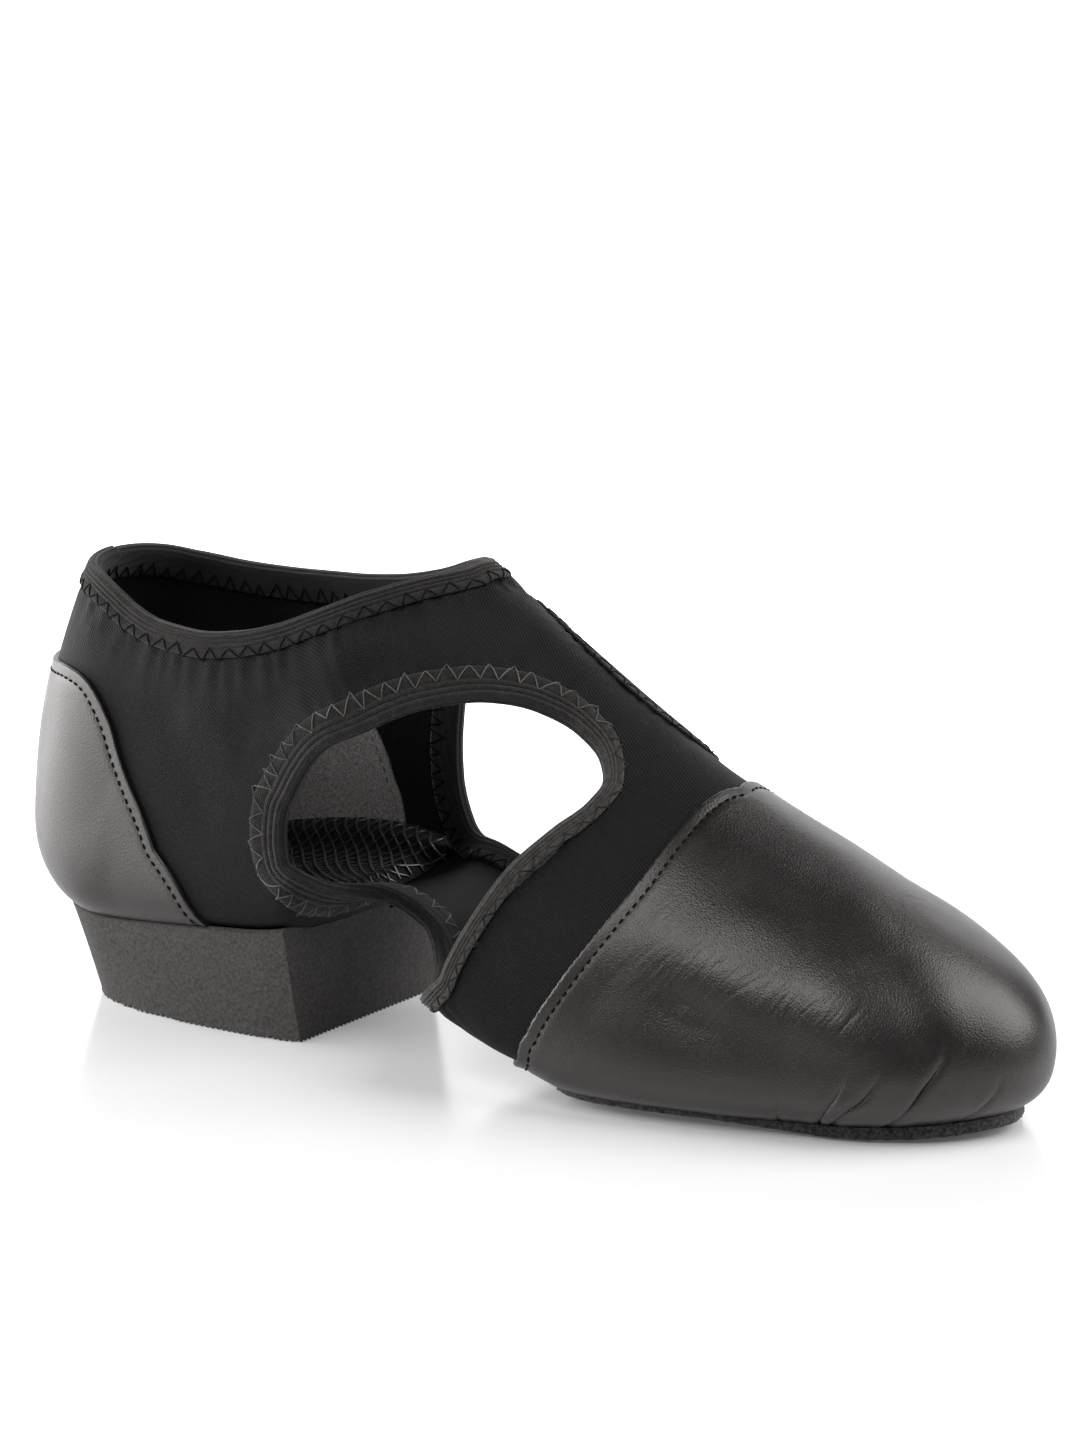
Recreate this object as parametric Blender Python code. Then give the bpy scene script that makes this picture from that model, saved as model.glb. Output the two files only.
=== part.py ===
"""Split-sole slip-on dance shoe, right foot, as nine separate solids.

The last is one surface. A station is a half plane standing on the line from heel to toe; the stations
run round the shoe from the back of the heel along the outer side to the toe tip and back along the
inner side. Each station holds a half profile: v goes from 0 under the foot to 1 at the widest
height and on to 2 at the top of the instep. Every piece that lies on the last is cut from one
net of triangles on that surface and given its thickness along the surface normal.

Tables are in millimetres, x from the back of the heel, y toward the inner side, z up from the floor.
"""
import bpy
import numpy as np
from mathutils import Vector, kdtree
from mathutils.geometry import delaunay_2d_cdt

MM = 0.001
MIDDLE = (123.1, 1.5)       # middle of the shoe's box in x and y, moved to the origin

WALL = 2.0                  # stretch fabric with its lining
GAP = 0.3                   # air between neighbouring pieces
TAPE_GAP = 0.45             # and between the tape and the fabric it folds over
LEATHER = 1.0               # toe cap and counter
TAPE = 0.8                  # folded elastic tape
TAPE_WIDTH = 6.0            # each leg of the tape, from the edge inward
PAD = 3.0                   # cushioned heel sock
SEAT = 1.7                  # the heel block and the sole patch lie this far under the fabric
BREAST = 82.0               # flat front face of the heel block
HEEL_AXIS = 30.0            # stations turn about these two places
TOE_AXIS = 212.0
THROAT = 111.0              # front of the collar, on the ridge of the instep

# Centre lines of the last: under the foot and over the instep (over the collar the top is only implied).
SPINE = np.array([
    # x, y under, z under, y top, z top
    (30, 0, 17.5, 0, 111),
    (45, 0, 18.8, 0, 114.5),
    (60, 1, 20.6, 0, 116.5),
    (75, 6, 22.2, 0.5, 116),
    (85, 12, 24.8, 1, 114.5),
    (95, 15, 29.2, 1, 111),
    (104, 13, 26, 1.5, 106.6),
    (113, 7, 17.5, 2, 101.8),
    (128, 3.5, 9.5, 2.5, 91.5),
    (145, 3.5, 5.2, 3.5, 80),
    (162, 4.5, 3.4, 4.5, 69),
    (180, 5, 3.4, 5, 59.6),
    (197, 5.5, 3.4, 5.5, 52),
    (212, 6, 3.8, 6, 44.8),
], float)

# Stations of the outer side. A turn of 180 points backward, 90 sideways, 0 forward.
LATERAL = np.array([
    # x, turn, reach, z widest, fullness below, fullness above
    (30, 180, 29.4, 40.0, 0.70, 0.46),
    (30, 150, 29.4, 40.0, 0.72, 0.47),
    (30, 122, 29.6, 40.0, 0.80, 0.52),
    (32, 102, 30.6, 40.0, 0.88, 0.56),
    (38, 90, 31.2, 40.0, 0.91, 0.59),
    (56, 90, 33.0, 40.0, 0.92, 0.62),
    (82, 90, 35.5, 41.0, 0.92, 0.60),
    (92, 90, 36.6, 45.5, 0.52, 0.57),
    (105, 90, 38.5, 36.0, 0.70, 0.52),
    (125, 90, 40.5, 27.0, 0.78, 0.46),
    (145, 90, 41.5, 18.0, 0.84, 0.44),
    (165, 90, 40.5, 14.5, 0.90, 0.46),
    (190, 90, 36.0, 14.0, 0.90, 0.52),
    (204, 90, 32.6, 14.3, 0.88, 0.53),
    (210, 78, 30.6, 14.6, 0.86, 0.54),
    (212, 58, 29.0, 15.0, 0.82, 0.52),
    (212, 30, 30.4, 16.0, 0.78, 0.49),
    (212, 0, 33.4, 16.0, 0.76, 0.48),
], float)

# Stations of the inner side, in the same columns.
MEDIAL = np.array([
    (30, 180, 29.4, 40.0, 0.70, 0.46),
    (30, 150, 29.4, 40.0, 0.72, 0.47),
    (30, 122, 29.6, 40.0, 0.80, 0.52),
    (32, 102, 30.4, 40.0, 0.88, 0.56),
    (38, 90, 30.8, 40.5, 0.91, 0.59),
    (56, 90, 32.0, 42.0, 0.91, 0.62),
    (82, 90, 31.5, 46.0, 0.88, 0.60),
    (105, 90, 31.0, 46.0, 0.76, 0.52),
    (125, 90, 32.5, 38.0, 0.74, 0.46),
    (145, 90, 35.0, 26.0, 0.80, 0.44),
    (165, 90, 36.5, 17.0, 0.88, 0.46),
    (190, 90, 35.0, 14.5, 0.90, 0.52),
    (204, 90, 32.4, 14.4, 0.88, 0.53),
    (210, 78, 31.6, 14.6, 0.86, 0.54),
    (212, 58, 30.6, 15.0, 0.82, 0.52),
    (212, 30, 31.7, 16.0, 0.78, 0.49),
    (212, 0, 33.4, 16.0, 0.76, 0.48),
], float)

# Height of the collar edge over x.
COLLAR_LATERAL = np.array([
    (-5, 95.5), (14, 95.0), (24, 94.0), (31, 92.0), (38, 89.3), (47, 87.3), (58, 86.8),
    (69, 88.2), (79, 91.0), (88, 94.8), (97, 98.8), (105, 101.4), (111, 102.6),
], float)
COLLAR_MEDIAL = np.array([
    (-5, 95.5), (14, 94.5), (23, 91.8), (34, 90.1), (47, 89.6), (60, 90.0),
    (73, 91.4), (84, 94.0), (97, 98.8), (105, 101.4), (111, 102.6),
], float)

# Edges of the arch cut-outs as loops of (x, v).
CUTOUT_LATERAL = [
    (84.2, 1.05), (84.8, 1.095), (86.8, 1.122), (90.5, 1.172), (98.9, 1.295), (109, 1.435), (118, 1.547),
    (127, 1.654), (136, 1.733), (145, 1.766), (151, 1.743), (154, 1.683), (153, 1.606), (148, 1.483),
    (142, 1.355), (136, 1.196), (130, 1.02), (125, 0.82), (120, 0.58), (115.5, 0.37), (112, 0.28),
    (108.5, 0.245), (105.5, 0.243), (102, 0.262), (99, 0.297), (96.2, 0.34), (93.8, 0.395), (92, 0.47),
    (91, 0.57), (90.3, 0.685), (89.5, 0.78), (88, 0.885), (85.7, 0.98),
]
CUTOUT_MEDIAL = [
    (83.6, 1.06), (85, 1.16), (90, 1.30), (98, 1.42), (108, 1.535), (118, 1.64), (127, 1.725),
    (136, 1.782), (145, 1.812), (152, 1.79), (156, 1.724), (155, 1.632), (150, 1.49), (144, 1.347),
    (138, 1.184), (132, 1.01), (126, 0.84), (120, 0.69), (113, 0.58), (106, 0.535), (99.5, 0.53),
    (94, 0.575), (89.5, 0.70), (86.2, 0.85), (84.4, 0.96),
]

# Rear edge of the toe cap from under the foot up to the ridge, as (x, v).
TOE_CAP_SEAM = [
    (138, 0.0), (138.5, 0.25), (140, 0.42), (143.8, 0.58), (147, 0.75), (149.6, 0.98), (156.5, 1.164),
    (163, 1.328), (168, 1.492), (170.6, 1.676), (171.8, 1.832), (172.6, 1.927), (173.6, 2.0),
]
# Upper edge of the counter as (run, v); run is the way along the widest line from the back of the heel.
COUNTER_SEAM = [
    (0, 1.335), (14, 1.335), (27, 1.331), (36.5, 1.322), (45, 1.29), (51, 1.222), (58.5, 1.12),
    (66, 1.015), (72.5, 0.87), (77, 0.63), (79, 0.44), (79.5, 0.30),
]
# Where the fabric stops under the foot, as (run, v) for the heel seat and (x, v) for the forefoot.
HEEL_OPENING = [(0, 0.30), (30, 0.30), (55, 0.30), (74, 0.30), (85, 0.26), (90, 0.14), (91, 0.0)]
FOREFOOT_OPENING = [(156, 0.0), (156.6, 0.15), (160, 0.27), (170, 0.33), (190, 0.34), (204, 0.33)]
FOREFOOT_OPENING_TOE = 0.34
# Outline of the suede patch as (x, v) on the sides, then (turn, v) round the toe.
PATCH_SIDE = [(148.5, 0.0), (149, 0.28), (151.5, 0.45), (157, 0.53), (170, 0.55), (187, 0.53), (203, 0.485)]
PATCH_TOE = [(80, 0.465), (58, 0.47), (30, 0.52), (0, 0.55)]
# Outline of the heel sock as (x, v) on each side; behind the first row its edge eases to the heel's level.
SOCK_HEEL = 0.62
SOCK_LATERAL = [
    (60, 0.62), (70, 0.60), (76, 0.57), (80.5, 0.49), (82, 0.38), (81.4, 0.25), (80.2, 0.12), (79.6, 0.0),
]
SOCK_MEDIAL = [
    (60, 0.85), (70, 0.82), (78, 0.77), (83.6, 0.70), (85.2, 0.62), (84, 0.52), (82, 0.40), (80.6, 0.26),
    (79.8, 0.12), (79.6, 0.0),
]
# The heel block over the run: how far up the half profile its rim reaches, and its reach at the floor.
HEEL_BLOCK = np.array([
    # run, rim v, reach from the middle line at the floor
    (0, 0.46, 10.5),
    (15.5, 0.465, 12.7),
    (30, 0.48, 17.7),
    (42.5, 0.505, 22.0),
    (55, 0.53, 25.1),
    (73, 0.555, 26.7),
    (88, 0.56, 26.5),
    (99.1, 0.56, 24.6),
], float)
# Height of the sole patch's underside over x: level under the ball, lifted at both ends.
PATCH_FLOOR = np.array([(140, 2.2), (150, 1.1), (160, 0.0), (206, 0.0), (226, 0.7), (246, 2.6)], float)
PATCH_THICK = 2.0           # the patch keeps this thickness where it turns up behind the ball
PATCH_DOWN = (188.0, 218.0) # and comes down to the floor between these x

FACET = 9.6                 # side of a triangle on broad forms
FINE_FACET = 6.5            # and round the toe and the arch strap
EDGE_STEP = 6.0             # spacing along cut edges
CUTOUT_STEP = 4.7           # and along the tighter curves of the cut-outs
SEAT_CORNER = (101.0, 0.75) # below this x and v the cut-outs turn sharply
SEAT_CROWD = 2.8            # and take so many more steps
PROFILE_SCALE = 50.0        # millimetres that one unit of v stands for in the flat net


def cubic(t, knots, rows):
    """Smooth curve through rows that never swings past them."""
    t = np.asarray(t, float)
    rows = np.asarray(rows, float)
    width = np.diff(knots)[:, None]
    rise = np.diff(rows, axis=0) / width
    slope = np.zeros_like(rows)
    slope[0] = rise[0]
    slope[-1] = rise[-1]
    before = 2 * width[1:] + width[:-1]
    after = width[1:] + 2 * width[:-1]
    same_way = rise[:-1] * rise[1:] > 0
    safe_0 = np.where(same_way, rise[:-1], 1.0)
    safe_1 = np.where(same_way, rise[1:], 1.0)
    slope[1:-1] = np.where(same_way, (before + after) / (before / safe_0 + after / safe_1), 0.0)
    i = np.clip(np.searchsorted(knots, t, side="right") - 1, 0, len(knots) - 2)
    h = (knots[i + 1] - knots[i])[..., None]
    u = (t - knots[i])[..., None] / h
    start = (2 * u**3 - 3 * u**2 + 1) * rows[i] + (u**3 - 2 * u**2 + u) * h * slope[i]
    return start + (3 * u**2 - 2 * u**3) * rows[i + 1] + (u**3 - u**2) * h * slope[i + 1]


def spine(x):
    return cubic(np.clip(x, HEEL_AXIS, TOE_AXIS), SPINE[:, 0], SPINE[:, 1:])


def ring_of_stations():
    """Both station tables joined to one closed ring, with the run along the widest line."""
    back = MEDIAL[::-1][1:].copy()
    back[:, 1] *= -1
    rows = np.vstack([LATERAL, back])
    angle = np.radians(rows[:, 1])
    wide_x = rows[:, 0] + rows[:, 2] * np.cos(angle)
    wide_y = np.interp(rows[:, 0], SPINE[:, 0], SPINE[:, 3]) - rows[:, 2] * np.sin(angle)
    run = np.append(0.0, np.cumsum(np.hypot(np.diff(wide_x), np.diff(wide_y))))
    total = run[-1]
    head = rows[-4:-1].copy()
    head[:, 1] += 360
    tail = rows[1:4].copy()
    tail[:, 1] -= 360
    knots = np.concatenate([run[-4:-1] - total, run, run[1:4] + total])
    return knots, np.vstack([head, rows, tail]), total


KNOTS, STATIONS, TOTAL = ring_of_stations()


def on_last(s, v):
    """Point of the last at station run s and half profile v."""
    s, v = np.broadcast_arrays(np.asarray(s, float), np.asarray(v, float))
    x, turn, reach, z_wide, low, high = np.moveaxis(cubic(s, KNOTS, STATIONS), -1, 0)
    y_under, z_under, y_top, z_top = np.moveaxis(spine(x), -1, 0)
    cos = np.cos(np.radians(turn))
    sin = np.sin(np.radians(turn))
    ahead = np.clip(x + 0.01, HEEL_AXIS, TOE_AXIS)
    behind = np.clip(x - 0.01, HEEL_AXIS, TOE_AXIS)
    ridge_slope = (spine(ahead)[..., 3] - spine(behind)[..., 3]) / (ahead - behind)
    lean = np.where(x > THROAT, ridge_slope * high * reach * cos, 0.0)
    r_under = -sin * (y_under - y_top)
    below = v <= 1
    t = np.where(below, v, v - 1)
    b0 = (1 - t) ** 3
    b1 = 3 * t * (1 - t) ** 2
    b2 = 3 * t * t * (1 - t)
    b3 = t**3
    r_low = b0 * r_under + b1 * (r_under + low * (reach - r_under)) + (b2 + b3) * reach
    z_low = (b0 + b1) * z_under + b2 * (z_wide - low * (z_wide - z_under)) + b3 * z_wide
    r_high = (b0 + b1) * reach + b2 * high * reach
    z_high = b0 * z_wide + b1 * (z_wide + high * (z_top - z_wide)) + b2 * (z_top + lean) + b3 * z_top
    r = np.where(below, r_low, r_high)
    z = np.where(below, z_low, z_high)
    return np.stack([x + r * cos, y_top - r * sin, z], -1)


def tangents(s, v):
    v = np.clip(v, 0.004, 1.996)
    along = on_last(s + 0.1, v) - on_last(s - 0.1, v)
    up = on_last(s, v + 0.003) - on_last(s, v - 0.003)
    return along / 0.2, up / 0.006


def normal(s, v):
    along, up = tangents(np.asarray(s, float), np.asarray(v, float))
    n = np.cross(along, up)
    return n / np.linalg.norm(n, axis=-1, keepdims=True)


def place(s, v, height):
    """Point at a height over the last, measured along its normal."""
    return on_last(s, v) + height * normal(s, v)


def run_at(side, x):
    """Run of the station that stands at x on one side."""
    half = np.linspace(0.0, TOTAL, 12001)
    rows = cubic(half, KNOTS, STATIONS)
    if side == "lateral":
        keep = (rows[:, 1] >= 58) & (rows[:, 1] <= 122)
    else:
        keep = (rows[:, 1] <= -58) & (rows[:, 1] >= -122)
    order = np.argsort(rows[keep, 0], kind="stable")
    return np.interp(x, rows[keep, 0][order], half[keep][order])


def run_at_turn(turn):
    half = np.linspace(0.0, TOTAL, 12001)
    return np.interp(-np.asarray(turn, float), -cubic(half, KNOTS, STATIONS)[:, 1], half)


def on_side(side, run):
    """Run counted from the heel back, on the side asked for."""
    run = np.asarray(run, float)
    if side == "lateral":
        return run
    return TOTAL - run


def resample(track, step, closed=False, crowd=None):
    """The same track with even steps measured on the last, or closer ones where it is crowded."""
    track = np.asarray(track, float)
    crowd = np.ones(len(track)) if crowd is None else crowd
    if closed:
        track = np.vstack([track, track[:1]])
        crowd = np.append(crowd, crowd[0])
    points = on_last(track[:, 0], track[:, 1])
    length = np.linalg.norm(np.diff(points, axis=0), axis=1) * crowd[1:]
    way = np.append(0.0, np.cumsum(length))
    count = max(2, int(round(way[-1] / step)) + 1)
    marks = np.linspace(0.0, way[-1], count)
    out = np.stack([np.interp(marks, way, track[:, 0]), np.interp(marks, way, track[:, 1])], -1)
    if closed:
        return out[:-1]
    return out


def smooth(rows, closed=False, per_row=12):
    """Dense curve through a few rows of two columns."""
    rows = np.asarray(rows, float)
    if closed:
        rows = np.vstack([rows[-3:], rows, rows[:3]])
    chord = np.hypot(np.diff(rows[:, 0]), PROFILE_SCALE * np.diff(rows[:, 1]))
    way = np.append(0.0, np.cumsum(np.maximum(chord, 1e-6)))
    slope = np.gradient(rows, way, axis=0)
    first, last = (3, len(rows) - 3) if closed else (0, len(rows) - 1)
    dense = []
    for i in range(first, last):
        h = way[i + 1] - way[i]
        for u in np.arange(per_row) / per_row:
            here = (2 * u**3 - 3 * u**2 + 1) * rows[i] + (u**3 - 2 * u**2 + u) * h * slope[i]
            there = (3 * u**2 - 2 * u**3) * rows[i + 1] + (u**3 - u**2) * h * slope[i + 1]
            dense.append(here + there)
    if not closed:
        dense.append(rows[-1])
    return np.array(dense)


def collar_edge(side):
    """Track of the collar from the back of the heel to the throat."""
    table = COLLAR_LATERAL if side == "lateral" else COLLAR_MEDIAL
    end = run_at("lateral", THROAT) if side == "lateral" else TOTAL - run_at("medial", THROAT)
    run = end * (1 - (1 - np.linspace(0.0, 1.0, 240)) ** 1.6)
    s = on_side(side, run)
    low = np.full_like(s, 1.0)
    high = np.full_like(s, 2.0)
    for _ in range(40):
        middle = 0.5 * (low + high)
        p = on_last(s, middle)
        above = p[:, 2] > cubic(np.clip(p[:, 0], -5, THROAT), table[:, 0], table[:, 1:])[:, 0]
        high = np.where(above, middle, high)
        low = np.where(above, low, middle)
    v = 0.5 * (low + high)
    v[-1] = 2.0
    return resample(np.stack([s, v], -1), EDGE_STEP)


def cutout_edge(side, rows):
    dense = smooth(rows, closed=True)
    crowd = np.where((dense[:, 0] < SEAT_CORNER[0]) & (dense[:, 1] < SEAT_CORNER[1]), SEAT_CROWD, 1.0)
    dense[:, 0] = run_at(side, dense[:, 0])
    return resample(dense, CUTOUT_STEP, closed=True, crowd=crowd)


def side_track(side, rows, by_run=False):
    """A table of one side as a track from its first row to its last."""
    dense = smooth(rows)
    dense[:, 1] = np.clip(dense[:, 1], 0.0, 2.0)
    dense[:, 0] = on_side(side, dense[:, 0]) if by_run else run_at(side, dense[:, 0])
    return dense


def toe_round(levels):
    """Track round the toe from the outer to the inner side; levels are (turn, v)."""
    turns = np.array([row[0] for row in levels] + [-row[0] for row in levels[-2::-1]], float)
    values = np.array([row[1] for row in levels] + [row[1] for row in levels[-2::-1]], float)
    return np.stack([run_at_turn(turns), values], -1)


def forefoot_line(rows, toe):
    outer = side_track("lateral", rows)
    inner = side_track("medial", rows)[::-1]
    return resample(np.vstack([outer, toe_round(toe), inner]), EDGE_STEP)


def heel_line(side, rows, by_run=True, step=EDGE_STEP):
    return resample(side_track(side, rows, by_run), step)


class Net:
    """One net of triangles over the whole last, with every cut line lying on its edges."""

    def __init__(self):
        self.collar = {side: collar_edge(side) for side in ("lateral", "medial")}
        self.cutout = {
            "lateral": cutout_edge("lateral", CUTOUT_LATERAL),
            "medial": cutout_edge("medial", CUTOUT_MEDIAL),
        }
        loop = np.vstack([self.collar["lateral"], self.collar["medial"][::-1][1:-1]])
        self.edges = {
            "collar": loop[::-1],
            "lateral": clockwise(self.cutout["lateral"]),
            "medial": clockwise(self.cutout["medial"]),
        }
        self.tape = {name: tape_lines(edge) for name, edge in self.edges.items()}
        self.seam = {s: resample(side_track(s, TOE_CAP_SEAM), EDGE_STEP) for s in ("lateral", "medial")}
        self.counter = {s: heel_line(s, COUNTER_SEAM) for s in ("lateral", "medial")}
        self.seat = {s: heel_line(s, HEEL_OPENING) for s in ("lateral", "medial")}
        self.sock = {
            "lateral": self.level_then("lateral", SOCK_LATERAL),
            "medial": self.level_then("medial", SOCK_MEDIAL),
        }
        self.block = {}
        self.breast = {}
        for side in ("lateral", "medial"):
            s = np.linspace(on_side(side, 0.0), run_at(side, BREAST), 120)
            rim = np.stack([s, heel_block(s)[0]], -1)
            self.block[side] = resample(rim, EDGE_STEP)
            v = np.linspace(rim[-1, 1], 0.0, 7)
            self.breast[side] = np.stack([np.full_like(v, s[-1]), v], -1)
        ring = [(80, 0.33), (40, FOREFOOT_OPENING_TOE), (0, FOREFOOT_OPENING_TOE)]
        self.ball = forefoot_line(FOREFOOT_OPENING, ring)
        self.patch = forefoot_line(PATCH_SIDE, PATCH_TOE)
        self.outline = self.border()
        self.weave()

    @staticmethod
    def level_then(side, rows):
        """A line that eases round the heel and then follows rows of (x, v)."""
        share = np.linspace(0.0, 1.0, 30)
        level = SOCK_HEEL + (rows[0][1] - SOCK_HEEL) * ease(share)
        level_part = np.stack([on_side(side, 74.0 * share), level], -1)
        return resample(np.vstack([level_part, side_track(side, rows)]), EDGE_STEP)

    def border(self):
        """Edge of the flat net: under the foot, up the heel, along the collar and the ridge."""
        under_x = np.arange(HEEL_AXIS, TOE_AXIS + 0.1, 6.5)
        throat = np.argmax(self.edges["collar"][:, 1])
        tape_x = [on_last(line[throat, 0], 2.0)[0] for line in self.tape["collar"]]
        ridge_x = np.concatenate([[THROAT], tape_x, np.linspace(tape_x[-1] + 6.5, TOE_AXIS, 15)])
        back = len(self.edges["collar"]) - 1
        tape_v = [line[back, 1] for line in self.tape["collar"]]
        back_v = np.append(np.linspace(0.0, tape_v[1], 12), [tape_v[0], self.collar["lateral"][0, 1]])
        zeros = np.zeros_like(under_x)
        twos = np.full_like(ridge_x, 2.0)
        parts = [
            np.array([(0.0, 0.0)]),
            np.stack([run_at("lateral", under_x), zeros], -1),
            np.stack([run_at("medial", under_x[::-1]), zeros], -1),
            np.array([(TOTAL, 0.0)]),
            np.stack([np.full_like(back_v, TOTAL), back_v], -1)[1:-1],
            self.collar["medial"],
            np.stack([run_at("medial", ridge_x), twos], -1)[1:],
            np.stack([run_at("lateral", ridge_x[::-1]), twos], -1)[:-1],
            self.collar["lateral"][::-1],
            np.stack([np.zeros_like(back_v), back_v], -1)[::-1][1:-1],
        ]
        return np.vstack(parts)

    def weave(self):
        points = [self.outline]
        count = len(self.outline)
        edges = [(i, (i + 1) % count) for i in range(count)]
        loops = [self.cutout["lateral"], self.cutout["medial"], *self.tape["lateral"], *self.tape["medial"]]
        lines = [self.ball, self.patch, *self.collar_tape()]
        for group in (self.seam, self.counter, self.seat, self.sock, self.block, self.breast):
            lines.extend(group.values())
        for line in loops + lines:
            closed = any(line is loop for loop in loops)
            stop = len(line) if closed else len(line) - 1
            edges.extend((count + i, count + (i + 1) % len(line)) for i in range(stop))
            points.append(line)
            count += len(line)
        fixed = np.vstack(points)
        filling = self.filling(fixed)
        flat = np.vstack([fixed, filling]) * (1.0, PROFILE_SCALE)
        spots = [Vector((float(a), float(b))) for a, b in flat]
        made = delaunay_2d_cdt(spots, edges, [], 0, 1e-4)
        self.flat = np.array([(p.x, p.y / PROFILE_SCALE) for p in made[0]])
        self.flat[:, 1] = np.clip(self.flat[:, 1], 0.0, 2.0)
        corners = np.array([tuple(face) for face in made[2]])
        middle = self.flat[corners].mean(axis=1)
        corners = corners[inside(middle, self.outline)]
        self.weld(corners)

    def collar_tape(self):
        """The tape lines under the collar, outer and inner side apart."""
        loop = self.edges["collar"]
        throat = np.argmax(loop[:, 1])
        halves = []
        for line in self.tape["collar"]:
            front_x = on_last(line[throat, 0], 2.0)[0]
            inner = line[:throat]
            inner = np.vstack([(TOTAL, line[-1, 1]), inner, (run_at("medial", front_x), 2.0)])
            outer = np.vstack([(run_at("lateral", front_x), 2.0), line[throat + 1:-1], (0.0, line[-1, 1])])
            halves.extend([inner, outer])
        return halves

    def filling(self, fixed):
        """Free points inside, kept a facet apart on the last."""
        taken = on_last(fixed[:, 0], fixed[:, 1])
        chosen = []
        for row, v in enumerate(np.arange(0.05, 2.0, 0.05)):
            s = np.arange(2.0 + 2.0 * (row % 2), TOTAL - 1.0, 4.0)
            spots = np.stack([s, np.full_like(s, v)], -1)
            spots = spots[inside(spots, self.outline)]
            for spot in spots:
                p = on_last(spot[0], spot[1])
                fine = p[0] > 205 or (84 < p[0] < 122 and v < 0.95)
                facet = FINE_FACET if fine else FACET
                gap = np.linalg.norm(taken - p, axis=1)
                if gap[: len(fixed)].min() < 0.62 * facet:
                    continue
                if len(chosen) and gap[len(fixed):].min() < 0.95 * facet:
                    continue
                chosen.append(spot)
                taken = np.vstack([taken, p])
        return np.array(chosen)

    def weld(self, corners):
        """Make one corner of all that fall on the same place, and drop flattened triangles."""
        self.points = on_last(self.flat[:, 0], self.flat[:, 1])
        tree = kdtree.KDTree(len(self.points))
        for i, p in enumerate(self.points):
            tree.insert(p, i)
        tree.balance()
        first = np.arange(len(self.points))
        for i, p in enumerate(self.points):
            first[i] = min(hit[1] for hit in tree.find_range(p, 0.02))
        self.centre = self.flat[corners].mean(axis=1)
        joined = first[corners]
        a, b, c = joined.T
        whole = (a != b) & (b != c) & (a != c)
        self.corners = joined[whole]
        self.centre = self.centre[whole]

    def region(self, lateral, medial=None):
        """Triangles inside a closed track, or inside two tracks that meet on the heel and under the foot."""
        if medial is None:
            return inside(self.centre, lateral)
        return inside(self.centre, lateral) | inside(self.centre, medial)


def inside(points, polygon):
    """Even-odd test of points against a closed track."""
    x = points[:, 0]
    y = points[:, 1]
    hit = np.zeros(len(points), bool)
    last = polygon[-1]
    for corner in polygon:
        crosses = (corner[1] > y) != (last[1] > y)
        rise = last[1] - corner[1]
        rise = rise if rise != 0 else 1e-12
        hit ^= crosses & (x < (last[0] - corner[0]) * (y - corner[1]) / rise + corner[0])
        last = corner
    return hit


def close_below(line, side):
    """A heel line closed along the centre line under the foot."""
    ends = np.array([(line[-1, 0], 0.0), (on_side(side, 0.0), 0.0)])
    return np.vstack([line, ends])


def material(name, colour, rough):
    made = bpy.data.materials.new(name)
    made.use_nodes = True
    shader = made.node_tree.nodes["Principled BSDF"]
    shader.inputs["Base Color"].default_value = (*colour, 1.0)
    shader.inputs["Roughness"].default_value = rough
    return made


def add_object(name, points, faces, colour, rough):
    moved = (np.asarray(points, float) - (MIDDLE[0], MIDDLE[1], 0.0)) * MM
    mesh = bpy.data.meshes.new(name)
    mesh.from_pydata([tuple(p) for p in moved], [], faces)
    mesh.validate()
    made = bpy.data.objects.new(name, mesh)
    made.data.materials.append(material(name + "_material", colour, rough))
    bpy.context.scene.collection.objects.link(made)
    return made


def solid(net, name, keep, outer, inner, colour, rough):
    """A piece of the net with an outer and an inner face and walls round its edges."""
    corners = net.corners[keep]
    used, local = np.unique(corners, return_inverse=True)
    local = local.reshape(corners.shape)
    s = net.flat[used, 0]
    v = net.flat[used, 1]
    count = len(used)
    points = np.vstack([outer(s, v), inner(s, v)])
    faces = [tuple(int(i) for i in tri) for tri in local]
    faces += [tuple(int(i) + count for i in tri[::-1]) for tri in local]
    edges = set()
    for a, b, c in local:
        edges.update(((a, b), (b, c), (c, a)))
    for a, b in sorted(edges):
        if (b, a) not in edges:
            faces.append((int(b), int(a), int(a) + count, int(b) + count))
    return add_object(name, points, faces, colour, rough)


def at(height):
    return lambda s, v: place(s, v, height)


def heel_block(s):
    """Rim height on the half profile and reach at the floor, for stations of the heel."""
    run = np.where(s > 0.5 * TOTAL, TOTAL - s, s)
    rim, reach = np.moveaxis(cubic(run, HEEL_BLOCK[:, 0], HEEL_BLOCK[:, 1:]), -1, 0)
    return rim, reach


def ease(share):
    """A share between 0 and 1 with soft ends."""
    share = np.clip(share, 0.0, 1.0)
    return share * share * (3 - 2 * share)


def patch_bottom(s, v):
    """The patch's underside: on the floor in the middle, an even sheet at the sides behind the ball."""
    top = place(s, v, SEAT)
    floor = np.interp(top[:, 0], PATCH_FLOOR[:, 0], PATCH_FLOOR[:, 1])
    side = np.maximum(top[:, 2] - PATCH_THICK - floor, 0.0)
    turned_up = ease((v - 0.22) / 0.26) * ease((PATCH_DOWN[1] - top[:, 0]) / (PATCH_DOWN[1] - PATCH_DOWN[0]))
    return np.stack([top[:, 0], top[:, 1], floor + side * turned_up], -1)


def block_top(s, v):
    top = place(s, v, SEAT)
    top[:, 0] = np.minimum(top[:, 0], BREAST)
    return top


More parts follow.
